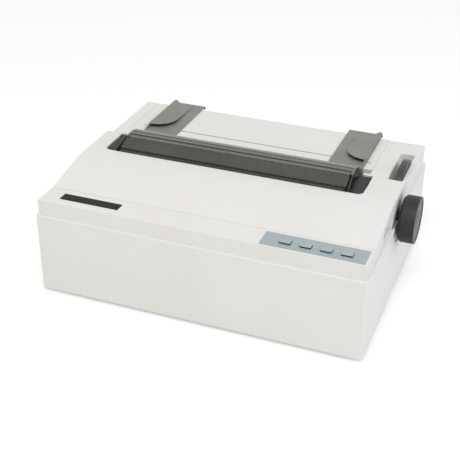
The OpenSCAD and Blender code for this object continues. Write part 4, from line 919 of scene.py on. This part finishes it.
NODE_MATERIALS = {
    "indicator_lenses": lens_green,
    "panel_board": board_green, "main_board": board_green, "power_board": board_brown,
    "platen_roller": rubber_ground, "pressure_rollers": rubber_ground,
    "platen_shaft": steel_ground, "tractor_shaft": steel_ground, "tractor_rod": steel_ground,
    "carriage_shaft": steel_ground, "drive_pulley": steel_ground,
    "pressure_shaft": steel_ground,
    "platen_gear": acetal_natural, "reduction_gear": acetal_natural,
    "idler_gear": acetal_natural, "tractor_gear": acetal_natural,
    "idler_pulley": acetal_natural,
    "platen_bushes": bronze_bush, "motor_pinion": bronze_bush,
    "line_feed_motor": motor_case, "carriage_motor": motor_case,
    "tractor_left": plastic_black, "tractor_right": plastic_black,
    "tractor_door_left": plastic_black, "tractor_door_right": plastic_black,
    "pin_wheel_left": plastic_black, "pin_wheel_right": plastic_black,
    "carriage": plastic_black, "ribbon_cartridge": plastic_black,
    "power_inlet": plastic_black, "power_switch": plastic_black,
    "power_rocker": plastic_black, "data_socket": plastic_black,
    "side_frame_left": steel_zinc, "side_frame_right": steel_zinc, "base_frame": steel_zinc,
    "paper_chute": steel_zinc,
    "head_gap_lever": plastic_blue, "ribbon_knob": plastic_blue,
    "print_head": head_alloy, "ribbon": ribbon_nylon, "carriage_belt": rubber_ground,
    "transformer": iron_laminated, "feet": rubber_foot, "screws": steel_screw,
}
for node, material in NODE_MATERIALS.items():
    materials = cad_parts[node].data.materials
    materials.clear()
    materials.append(material)

# ---------------------------------------------------------------- floor, light

# How far the floor is lifted to white where it is seen
FLOOR_LIFT = 0.3
# The sky's strength on the object: a colour renders about as it is written
SKY = 0.665

scene = bpy.context.scene
scene.view_settings.view_transform = "Standard"


def seen_directly(tree):
    """1 for rays from the camera, off a gloss or through clear plastic, and 0 for plain light."""
    rays = add_node(tree, "ShaderNodeLightPath").outputs
    seen = rays["Is Camera Ray"]
    for way in ("Is Glossy Ray", "Is Transmission Ray"):
        seen = add_node(tree, "ShaderNodeMath", {"operation": "MAXIMUM"},
                        {0: seen, 1: rays[way]}).outputs[0]
    return seen


# The floor, half a millimetre under the feet so that the two don't share a plane
deselect()
bpy.ops.mesh.primitive_plane_add(size=8, location=(0, 0, -0.5 * MM))
floor = bpy.context.object
floor.name = "floor"
# Matt pale paper. It is lifted to white where it is seen, and keeps the shadow.
floor_pale, tree, shader, place = new_material("floor_pale")
shader.inputs["Base Color"].default_value = linear("#E8E8E8")
set_shader(shader, Roughness=0.9, Specular_IOR_Level=0.0)
lift = add_node(tree, "ShaderNodeMath", {"operation": "MULTIPLY"},
                {0: seen_directly(tree), 1: FLOOR_LIFT}).outputs[0]
glow = add_node(tree, "ShaderNodeEmission", inputs={"Color": (1, 1, 1, 1), "Strength": lift})
total = add_node(tree, "ShaderNodeAddShader", inputs={0: shader.outputs[0], 1: glow.outputs[0]})
output = next(n for n in tree.nodes if n.type == "OUTPUT_MATERIAL")
tree.links.new(total.outputs[0], output.inputs["Surface"])
floor.data.materials.append(floor_pale)

world = bpy.data.worlds.new("studio")
scene.world = world
world.use_nodes = True
tree = world.node_tree
sky = next(n for n in tree.nodes if n.type == "BACKGROUND")
strength = add_node(tree, "ShaderNodeMapRange",
                    inputs={"Value": seen_directly(tree), "To Min": SKY, "To Max": 1.0})
sky.inputs["Color"].default_value = (1, 1, 1, 1)
tree.links.new(strength.outputs["Result"], sky.inputs["Strength"])


def soft_lamp(name, place, width, power, colour):
    """A square lamp, width metres across, that faces the middle of the printer."""
    target = Vector((0, 0, 0.1))
    data = bpy.data.lights.new(name, "AREA")
    data.shape = "SQUARE"
    data.size = width
    data.energy = power
    data.color = linear(colour)[:3]
    lamp = bpy.data.objects.new(name, data)
    scene.collection.objects.link(lamp)
    lamp.location = place
    lamp.rotation_euler = (target - Vector(place)).to_track_quat("-Z", "Y").to_euler()


soft_lamp("key", place=(0.2, -1.4, 2.2), width=1.6, power=22, colour="#FFFDF8")
soft_lamp("fill_right", place=(2.2, -0.2, 0.9), width=1.4, power=10, colour="#E2E6FF")
